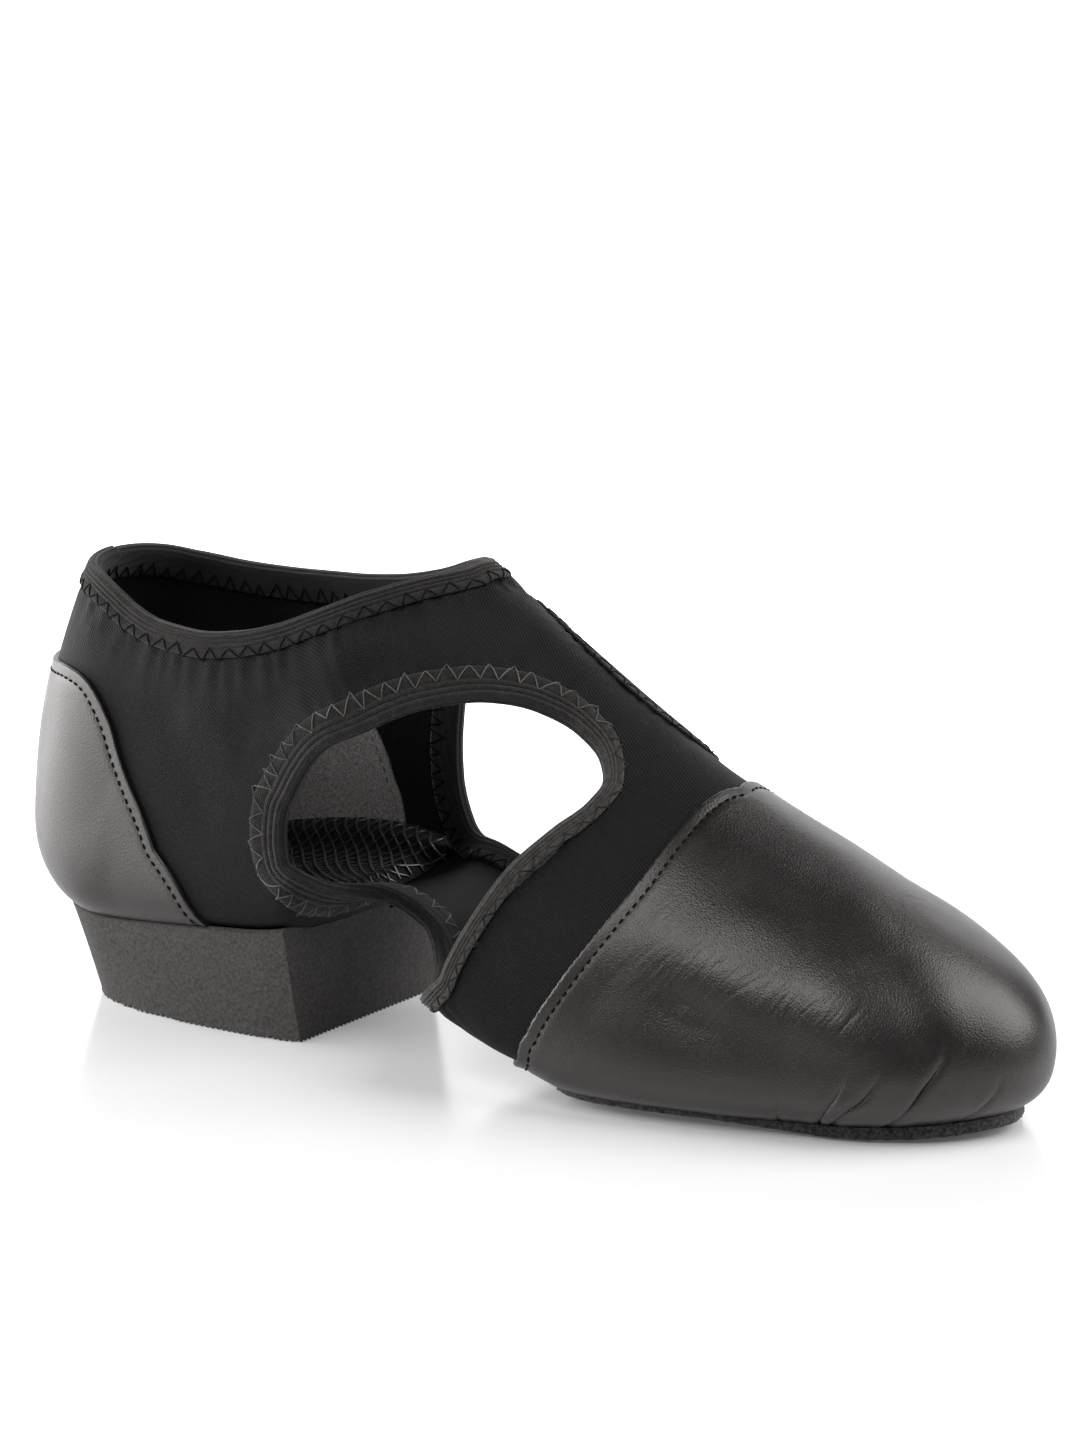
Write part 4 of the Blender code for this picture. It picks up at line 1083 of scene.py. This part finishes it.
def fine_creases():
    """Rows for creases(): short shallow folds laid beside each other, no two quite alike."""
    table = []
    for first, last, reach, count in CREASE_FANS:
        for share in np.linspace(0.0, 1.0, count):
            start = (1 - share) * np.array(first) + share * np.array(last)
            start = start + RANDOM.uniform(-1.0, 1.0, 2) * (0.9, 0.03)
            way = np.array(reach) * RANDOM.uniform(0.45, 1.0)
            bend = RANDOM.uniform(-0.6, 0.6)
            middle = start + 0.5 * way + (bend, -0.006 * bend)
            table.append((0.45, -RANDOM.uniform(0.015, 0.045), [start, middle, start + way]))
    return table


CAP_PLEATS = [
    (0.30, -0.42, [(237.5, 1.06), (236, 0.98), (234, 0.86), (230.5, 0.65), (228, 0.45)]),
    (0.30, -0.51, [(243.5, 1.08), (242, 0.99), (240, 0.87), (234.5, 0.66), (230, 0.45)]),
    (0.32, -0.57, [(257, 1.20), (255.4, 1.08), (252.9, 0.98), (249, 0.75), (243, 0.45)]),
    (0.30, -0.27, [(268, 1.0), (267, 0.86), (264, 0.66), (261, 0.45)]),
    (0.30, -0.30, [(222.5, 0.84), (221.5, 0.74), (219.5, 0.58), (218, 0.45)]),
    (0.30, -0.36, [(310, 1.0), (311, 0.86), (314, 0.66), (316, 0.45)]),
    (0.30, -0.42, [(324, 1.04), (326, 0.88), (329, 0.66), (332, 0.45)]),
    (0.30, -0.36, [(298, 0.98), (298.5, 0.84), (300, 0.64), (302, 0.45)]),
]
# Where the leather is drawn into fine folds: centre as (run, v) and the radius it fades over.
CREASED_CAP = [((200, 1.32), 17.0), ((228, 1.25), 15.0), ((TOTAL - 204, 1.28), 17.0)]
SWELL = 0.9                 # how far the lasted leather bulges over the edge of the sole patch


def cap_seams(step):
    return {side: side_track(side, TOE_CAP_SEAM, step) for side in SIDES}


CAP_LINE = points_of(np.vstack(list(cap_seams(0.5).values())))


def rows_beside(tracks, toward, depths):
    return [aside(track, depth, toward) for track in tracks for depth in depths]


def lasted(points, table):
    """Pleats with the leather bunched up on both sides of each."""
    lift = np.zeros(len(points))
    for width, depth, along, gap in fold_places(points, table, 0.3):
        grow = np.clip(along * 2.2, 0.0, 1.0)
        fold = np.exp(-((gap / width) ** 2)) + 0.35 * np.exp(-gap / (4 * width))
        lift += grow * depth * (fold - 0.3 * np.exp(-(((gap - 5 * width) / (3 * width)) ** 2)))
    return lift


def make_toe_cap():
    seams = cap_seams(0.8)
    ridge_x = np.linspace(TOE_CAP_SEAM[-1][0], TOE_AXIS, 40)
    under_x = np.linspace(TOE_CAP_SEAM[0][0], TOE_AXIS, 60)
    outline = np.vstack([
        seams["lateral"],
        level("lateral", ridge_x, 2.0)[1:],
        level("medial", ridge_x[::-1], 2.0)[:-1],
        seams["medial"][::-1],
        level("medial", under_x, 0.0)[1:],
        level("lateral", under_x[::-1], 0.0)[:-1],
    ])
    lip = rows_beside([track[track[:, 1] > 0.12] for track in seams.values()], FORWARD, LIP_LINES)
    ball = forefoot_line(FOREFOOT_OPENING, FOREFOOT_TOE, 1.5)
    pleats = []
    for _, _, places in CAP_PLEATS:
        track = resample(smooth(places), 0.6)
        pleats += [track, aside(track, 0.45, FORWARD), aside(track, 0.45, -FORWARD)]
    net = Net(outline, lines=lip + [ball] + pleats, step=1.0, rise=0.02, dense=CREASED_PATCH)
    net.drop(np.vstack([ball, ball[:1]]))
    net.weld()

    def outer(s, v):
        bare = on_last(s, v)
        gap = nearest(bare, CAP_LINE)[1]
        lift = np.interp(gap, LIP[:, 0], LIP[:, 1])
        soft = np.clip((gap - 3.0) / 6.0, 0.0, 1.0)
        lift += SWELL * soft * ease((0.95 - v) / 0.35)
        folds = creases(bare, CAP_FOLDS) + creases(bare, fine_creases()) + lasted(bare, CAP_PLEATS)
        return place(s, v, lift + soft * folds)

    parts = shell(net, outer, at_height(UNDER_LEATHER))
    made = parts.piece("leather_toe_cap", NAPPA, "leather", "toe_cap")
    mark_creased(made, CREASED_CAP)
    sewn = [track[track[:, 1] > 0.3] for track in cap_seams(0.4).values()]
    stitches("stitches_toe_cap", [aside(track, STITCH_DEPTH, FORWARD) for track in sewn])


def mark_creased(made, spots):
    """Write how much each corner lies in a creased region, for the leather's fine folds."""
    mesh = made.data
    points = np.empty(3 * len(mesh.vertices))
    mesh.vertices.foreach_get("co", points)
    points = points.reshape(-1, 3) / MM + (MIDDLE[0], MIDDLE[1], 0.0)
    amount = np.full(len(points), 0.06)
    for (s, v), radius in spots:
        gap = np.linalg.norm(points - on_last(s, v), axis=1)
        amount = np.maximum(amount, np.exp(-((gap / radius) ** 2) * 1.6))
    mark(made, "creased", amount)


def stitches(name, tracks, pitch=2.1, length=1.45, radius=0.25, height=0.92, look=DARK_THREAD,
             slot="leather"):
    """Rows of lockstitches that lie in the sewn groove."""
    parts = Parts()
    for track in tracks:
        way = lengths(points_of(track))
        for start in np.arange(0.6, way[-1] - length, pitch):
            marks = start + length * np.linspace(0.0, 1.0, 6)
            s = np.interp(marks, way, track[:, 0])
            v = np.interp(marks, way, track[:, 1])
            sink = np.array((-0.35, 0.0, 0.08, 0.08, 0.0, -0.35))
            thread(parts, place(s, v, height + sink * (1 if height > 0 else -1)), radius, normal(s, v))
    parts.piece(name, look, slot)


def heel_outline(rows, step, bottom):
    """Closed track over both sides of the heel, above a level bottom line."""
    outer = side_track("lateral", rows, step, by_run=True)
    inner = side_track("medial", rows, step, by_run=True)
    low = np.linspace(inner[-1, 0], outer[-1, 0], int((outer[-1, 0] - inner[-1, 0]) / step))
    return np.vstack([outer[::-1], inner[1:], np.stack([low, np.full_like(low, bottom)], -1)[1:-1]])


# Soft folds of the counter, in the columns of the cap's folds.
COUNTER_FOLDS = [
    (9.0, -0.4, [(20, 1.20), (36, 1.10), (52, 0.95)]),
    (9.0, 0.4, [(14, 0.90), (34, 0.86), (54, 0.80)]),
    (9.0, -0.4, [(-20, 1.20), (-36, 1.10), (-52, 0.95)]),
]


def make_counter():
    outline = heel_outline(COUNTER_SEAM, 0.8, 0.30)
    rows = [row for row in COUNTER_SEAM if row[1] >= 0.40]
    tracks = [side_track(side, rows, 0.8, by_run=True) for side in SIDES]
    whole = np.vstack([tracks[1][::-1], tracks[0][1:]])
    net = Net(outline, lines=rows_beside([whole], TO_HEEL, LIP_LINES), step=1.2, rise=0.024)
    line = points_of(np.vstack([side_track(side, COUNTER_SEAM, 0.4, by_run=True) for side in SIDES]))

    def outer(s, v):
        bare = on_last(s, v)
        gap = nearest(bare, line)[1]
        return place(s, v, np.interp(gap, LIP[:, 0], LIP[:, 1]) + creases(bare, COUNTER_FOLDS))

    parts = shell(net, outer, at_height(UNDER_LEATHER))
    made = parts.piece("leather_counter", NAPPA, "leather", "heel_counter")
    mark_creased(made, [])
    stitches("stitches_counter", [aside(whole, STITCH_DEPTH, TO_HEEL)])


def make_lining():
    outline = heel_outline(FELT_EDGE, 1.4, 0.60)
    net = Net(outline, step=1.8, rise=0.035)
    shell(net, at_height(-WALL), at_height(-WALL - 0.5)).piece("felt_lining", FELT, "stretch_fabric")
    rows = [row for row in FELT_EDGE if row[0] > 60]
    tracks = [aside(side_track(side, rows, 0.5, by_run=True), 1.8, TO_HEEL) for side in SIDES]
    stitches("stitches_lining", tracks, 2.4, 1.7, 0.17, -WALL - 0.52, THREAD, "stretch_fabric")


def sock_outline(step):
    """Closed track of the heel sock, inner side counted backward, joined under the foot."""
    halves = []
    for side in SIDES:
        share = np.linspace(0.0, 1.0, 60)
        heights = SOCK_HEEL + (SOCK[side][0][1] - SOCK_HEEL) * ease(share)
        start = np.stack([from_heel(side, SOCK_EASE * share), heights], -1)
        rows = smooth(SOCK[side])
        rows[:, 1] = np.clip(rows[:, 1], 0.0, 2.0)
        rows[:, 0] = run_at(side, rows[:, 0]) - (0.0 if side == "lateral" else TOTAL)
        halves.append(resample(np.vstack([start, rows]), step))
    under = np.linspace(HEEL_AXIS, SOCK["lateral"][-1][0], 44)
    inner_low = level("medial", under[::-1], 0.0) - (TOTAL, 0.0)
    outer_low = level("lateral", under, 0.0)
    rim = np.vstack([halves[0][::-1], halves[1][1:]])
    return np.vstack([rim, inner_low[1:], outer_low[:-1]]), rim


def make_insole():
    outline, rim = sock_outline(1.0)
    net = Net(outline, step=1.4, rise=0.03)
    line = points_of(rim)

    def top(s, v):
        gap = nearest(on_last(s, v), line)[1]
        bulge = np.sqrt(np.clip(1 - (1 - np.clip(gap / PAD_ROUND, 0.0, 1.0)) ** 2, 0.0, 1.0))
        return place(s, v, PAD_LOW - PAD_EDGE + (PAD_TOP - PAD_LOW + PAD_EDGE) * bulge)

    pad = shell(net, at_height(PAD_LOW), top)
    made = pad.piece("insole_pad", FOAM, "mesh_sock", "insole")
    make_mesh(pad)


STRAND_PITCH = 2.1
STRAND_RADIUS = 0.27
MESH_AXIS = (1.0, 46.0)     # y and z of the line inside the shoe that the mesh is laid out from
MESH_RADIUS = 22.0
MESH_SETS = ((40.0, 0.14, 0.0), (-40.0, 0.26, math.pi))   # turn, height over the pad, phase of its wave


def make_mesh(pad):
    """Open diamond mesh over the sock: two sets of strands that cross, laid on the pad from inside."""
    points = np.vstack(pad.points)
    tree = BVHTree.FromPolygons([tuple(p) for p in points], pad.faces)
    low, high = points[:, 0].min(), points[:, 0].max()
    reach = 0.5 * np.hypot(high - low, 3.8 * MESH_RADIUS)
    parts = Parts()
    for turn, lift, phase in MESH_SETS:
        along = np.array((math.cos(math.radians(turn)), math.sin(math.radians(turn))))
        across = np.array((-along[1], along[0]))
        for offset in np.arange(-reach, reach, STRAND_PITCH):
            run, ups = [], []
            for t in np.arange(-reach, reach, 0.7):
                x, arc = np.array((0.5 * (low + high), 0.0)) + offset * across + t * along
                way = Vector((0.0, math.sin(arc / MESH_RADIUS), -math.cos(arc / MESH_RADIUS)))
                hit = tree.ray_cast((x, *MESH_AXIS), way) if abs(arc) < 2.0 * MESH_RADIUS else (None, None)
                if hit[0] is not None and way.dot(hit[1]) < -0.2:
                    wave = 0.12 * math.sin(2 * math.pi * t / STRAND_PITCH + phase)
                    run.append(np.array(hit[0]) + np.array(hit[1]) * (lift + wave))
                    ups.append(np.array(hit[1]))
                else:
                    strand(parts, run, ups)
                    run, ups = [], []
            strand(parts, run, ups)
    parts.piece("insole_mesh", MESH, "mesh_sock")


def strand(parts, run, ups):
    if len(run) > 4:
        thread(parts, np.array(run), STRAND_RADIUS, np.array(ups))


def heel_block(s):
    run = np.abs(np.where(s > 0.5 * TOTAL, s - TOTAL, s))
    return np.moveaxis(cubic(run, HEEL_BLOCK[:, 0], HEEL_BLOCK[:, 1:]), -1, 0)


def block_top(s, v, height=SEAT):
    top = place(s, v, height)
    top[:, 0] = np.minimum(top[:, 0], BREAST)
    return top


def block_bottom(s, v):
    """The block's tread outline: the rim drawn in to the smaller outline on the floor."""
    rows = station(s)
    angle = np.radians(rows[:, 1])
    rim_v, reach = heel_block(s)
    foot = np.stack([rows[:, 0] + reach * np.cos(angle), -reach * np.sin(angle)], -1)
    core = np.stack([rows[:, 0], spine(rows[:, 0])[:, 0]], -1)
    rim = on_last(s, rim_v)[:, :2]
    here = on_last(s, v)[:, :2]
    share = np.linalg.norm(here - core, axis=1) / np.linalg.norm(rim - core, axis=1)
    flat = core + np.clip(share, 0.0, 1.0)[:, None] * (foot - core)
    return np.column_stack([flat, np.zeros(len(s))])


TREAD_PITCH = 1.45
TREAD_DEPTH = 0.9
TREAD_STEP = 0.36


def tread(points):
    """Saw-tooth relief of the heel's underside: rows of small blocks both ways."""
    tooth = [np.abs((points[:, k] / TREAD_PITCH) % 1.0 - 0.5) * 2.0 for k in (0, 1)]
    groove = np.maximum(np.clip((tooth[0] - 0.4) / 0.6, 0, 1), np.clip((tooth[1] - 0.4) / 0.6, 0, 1))
    return TREAD_DEPTH * groove


def even_loop(points, step):
    """Even marks along a closed line, and the way to each of its own points."""
    ring = np.vstack([points, points[:1]])
    way = lengths(ring)
    marks = np.linspace(0.0, way[-1], int(way[-1] / step), endpoint=False)
    return marks, way


# Rings of the block's top from the middle out: share of the half profile, height over the last.
BLOCK_SEAT = ((0.0, 0.2), (0.3, 0.2), (0.6, 0.2), (0.9, 0.2), (0.965, 0.6), (0.988, SEAT))


def even_breast(points, v):
    """Close the middle of the breast with straight lines, where both sides of the last meet."""
    middle = np.flatnonzero(v < 0.14)
    first, last = middle[0] - 1, middle[-1] + 1
    share = ((middle - first) / (last - first))[:, None]
    points[middle] = (1 - share) * points[first] + share * points[last]
    return points


def make_heel():
    rim_s = np.linspace(run_at("lateral", BREAST), run_at("medial", BREAST) - TOTAL, 240)
    rim = np.stack([rim_s, heel_block(rim_s)[0]], -1)
    down = np.linspace(1.0, 0.0, 40)
    breast_m = np.stack([np.full(40, rim_s[-1]), rim[-1, 1] * down], -1)
    breast_l = np.stack([np.full(40, rim_s[0]), rim[0, 1] * down[::-1]], -1)
    loop = np.vstack([rim, breast_m[1:], breast_l[1:-1]])
    low = block_bottom(loop[:, 0], loop[:, 1])
    marks, way = even_loop(low, TREAD_STEP)
    ring = np.vstack([loop, loop[:1]])
    s = np.interp(marks, way, ring[:, 0])
    v = np.interp(marks, way, ring[:, 1])
    count = len(s)
    low = even_breast(block_bottom(s, v), v)
    top = even_breast(block_top(s, v), v)
    inner = [block_top(s, v * f, height) for f, height in BLOCK_SEAT]
    edge = top - (0.0, 0.0, 0.3)
    foot = low.copy()
    foot[:, 2] = tread(low)
    rings = inner + [edge]
    rings += [edge + (low + (0.0, 0.0, 1.0) - edge) * f for f in np.linspace(0.0, 1.0, 14)[1:]]
    rings.append(foot)
    parts = Parts()
    parts.add(np.vstack(rings), ring_faces(count, len(rings))[:, ::-1])
    tread_face(parts, foot)
    parts.piece("heel_block", RUBBER, "heel_rubber", "heel", sharp=32.0)


def tread_face(parts, foot):
    """The underside inside its outline, fine enough for the tread."""
    low, high = foot.min(axis=0), foot.max(axis=0)
    x, y = np.meshgrid(np.arange(low[0], high[0], TREAD_STEP), np.arange(low[1], high[1], TREAD_STEP))
    spots = np.stack([x.ravel(), y.ravel()], -1)
    spots = spots[inside(spots, foot[:, :2])]
    near = nearest(np.column_stack([spots, np.zeros(len(spots))]), foot * (1, 1, 0))[1]
    spots = spots[near > 0.6 * TREAD_STEP]
    count = len(foot)
    flat = np.vstack([foot[:, :2], spots])
    edges = [(i, (i + 1) % count) for i in range(count)]
    made = delaunay_2d_cdt([Vector(p) for p in flat.tolist()], edges, [], 1, 1e-5)
    points = np.array([(p.x, p.y, 0.0) for p in made[0]])
    points[:, 2] = tread(points)
    faces = np.array([tuple(face) for face in made[2]])
    parts.add(points, faces[:, ::-1])


PATCH_THICK = 2.0           # the suede with the seam above it, where it turns up behind the ball
PATCH_DOWN = (188.0, 218.0)  # and comes down to the floor between these x
PATCH_EDGE = 1.5            # its cut edge; above it the leather is drawn in
PATCH_FRAY = 0.10           # how far the cut edge strays


def make_sole_patch():
    rim = forefoot_line(PATCH_SIDE, PATCH_TOE, 0.9)
    under = np.linspace(PATCH_SIDE[0][0], TOE_AXIS, 50)
    outline = np.vstack([rim, level("medial", under, 0.0)[1:], level("lateral", under[::-1], 0.0)[:-1]])
    net = Net(outline, step=1.5, rise=0.03)
    line = place(rim[:, 0], rim[:, 1], SEAT) * (1, 1, 0)

    def underside(s, v):
        seat = place(s, v, SEAT)
        floor = np.interp(seat[:, 0], PATCH_FLOOR[:, 0], PATCH_FLOOR[:, 1])
        side = np.maximum(seat[:, 2] - PATCH_THICK - floor, 0.0)
        behind = ease((PATCH_DOWN[1] - seat[:, 0]) / (PATCH_DOWN[1] - PATCH_DOWN[0]))
        return np.column_stack([seat[:, :2], floor + side * (ease((v - 0.22) / 0.26) * behind)])

    def bottom(s, v):
        low = underside(s, v)
        gap = nearest(low * (1, 1, 0), line)[1]
        fray = RANDOM.normal(0.0, PATCH_FRAY, (len(s), 2)) * (gap < 0.5)[:, None]
        lift = 0.25 * np.clip(1 - gap / 1.2, 0.0, 1.0) ** 2
        return np.column_stack([low[:, :2] + fray, low[:, 2] + lift])

    def top(s, v):
        seat = place(s, v, SEAT - 0.2)
        gap = nearest(seat * (1, 1, 0), line)[1]
        edge = underside(s, v)[:, 2] + PATCH_EDGE + 1.3 * ease((seat[:, 0] - PATCH_DOWN[0]) / 30.0)
        seat[:, 2] = np.where(gap < 1.3, np.minimum(seat[:, 2], edge), seat[:, 2])
        return seat

    shell(net, bottom, top).piece("suede_patch", SUEDE, "suede", "forefoot_sole", sharp=50.0)


LIGHTS = (
    # name, place, size, power
    ("left_soft_box", (-1.46, -0.45, 0.45), (2.2, 0.85), 36.0),
    ("front_soft_box", (-0.04, -1.13, 1.13), (0.95, 0.95), 13.0),
    ("right_soft_box", (1.06, 0.61, 1.03), (1.5, 1.5), 32.0),
    ("back_soft_box", (-1.2, 1.9, 0.9), (2.6, 1.6), 24.0),
)
LIGHTS_AIM = Vector((0.0, 0.0, 0.05))
CAMERA_PLACE = Vector((0.722714, -1.051135, 0.383715))
CAMERA_AIM = Vector((0.007257, -0.005831, 0.073685))
CAMERA_LENS = 155.72        # millimetres, for a sensor of this width
CAMERA_SENSOR = 36.0


def turned(place, aim):
    """Rotation of a lamp or camera that looks from a place at its aim."""
    return (aim - Vector(place)).to_track_quat("-Z", "Y").to_euler()


def make_stage():
    """Pale floor, soft studio lights and the camera of the photograph."""
    mesh = bpy.data.meshes.new("floor")
    mesh.from_pydata([(-6, -6, 0), (6, -6, 0), (6, 9, 0), (-6, 9, 0)], [], [(0, 1, 2, 3)])
    floor = bpy.data.objects.new("floor", mesh)
    bpy.context.scene.collection.objects.link(floor)
    pale = Look("pale_floor", 0.16, Specular_IOR_Level=0.5)
    pale.shader.inputs["Base Color"].default_value = (0.92, 0.92, 0.92, 1.0)
    # Painted light: the floor glows, faintly on the camera's side and strongly behind the shoe, and this glow
    # also lights the shoe.
    pale.shader.inputs["Emission Color"].default_value = (1.0, 1.0, 1.0, 1.0)
    behind = {0: pale.place(), 1: (-0.565, 0.825, 0.0)}
    away = pale.add("VectorMath", behind, operation="DOT_PRODUCT").outputs["Value"]
    named = {"Value": away, "From Min": -0.12, "From Max": 0.5, "To Min": 0.04, "To Max": 0.95}
    glow = pale.add("MapRange", named, interpolation_type="SMOOTHSTEP").outputs["Result"]
    pale.tree.links.new(glow, pale.shader.inputs["Emission Strength"])
    mesh.materials.append(pale.made)

    world = bpy.data.worlds.new("studio")
    world.use_nodes = True
    world.node_tree.nodes["Background"].inputs["Color"].default_value = (1.0, 1.0, 1.0, 1.0)
    world.node_tree.nodes["Background"].inputs["Strength"].default_value = 0.02
    bpy.context.scene.world = world
    bpy.context.scene.view_settings.view_transform = "Standard"

    for name, spot, size, power in LIGHTS:
        data = bpy.data.lights.new(name, "AREA")
        data.shape = "RECTANGLE"
        data.size, data.size_y = size
        data.energy = power
        lamp = bpy.data.objects.new(name, data)
        lamp.location = spot
        lamp.rotation_euler = turned(spot, LIGHTS_AIM)
        bpy.context.scene.collection.objects.link(lamp)

    camera = bpy.data.cameras.new("camera")
    camera.lens = CAMERA_LENS
    camera.sensor_width = CAMERA_SENSOR
    camera.clip_start = 0.05
    camera.clip_end = 50.0
    eye = bpy.data.objects.new("camera", camera)
    eye.location = CAMERA_PLACE
    eye.rotation_euler = turned(CAMERA_PLACE, CAMERA_AIM)
    bpy.context.scene.collection.objects.link(eye)
    bpy.context.scene.camera = eye


make_upper()
make_tapes()
make_toe_cap()
make_counter()
make_lining()
make_insole()
make_heel()
make_sole_patch()
make_stage()
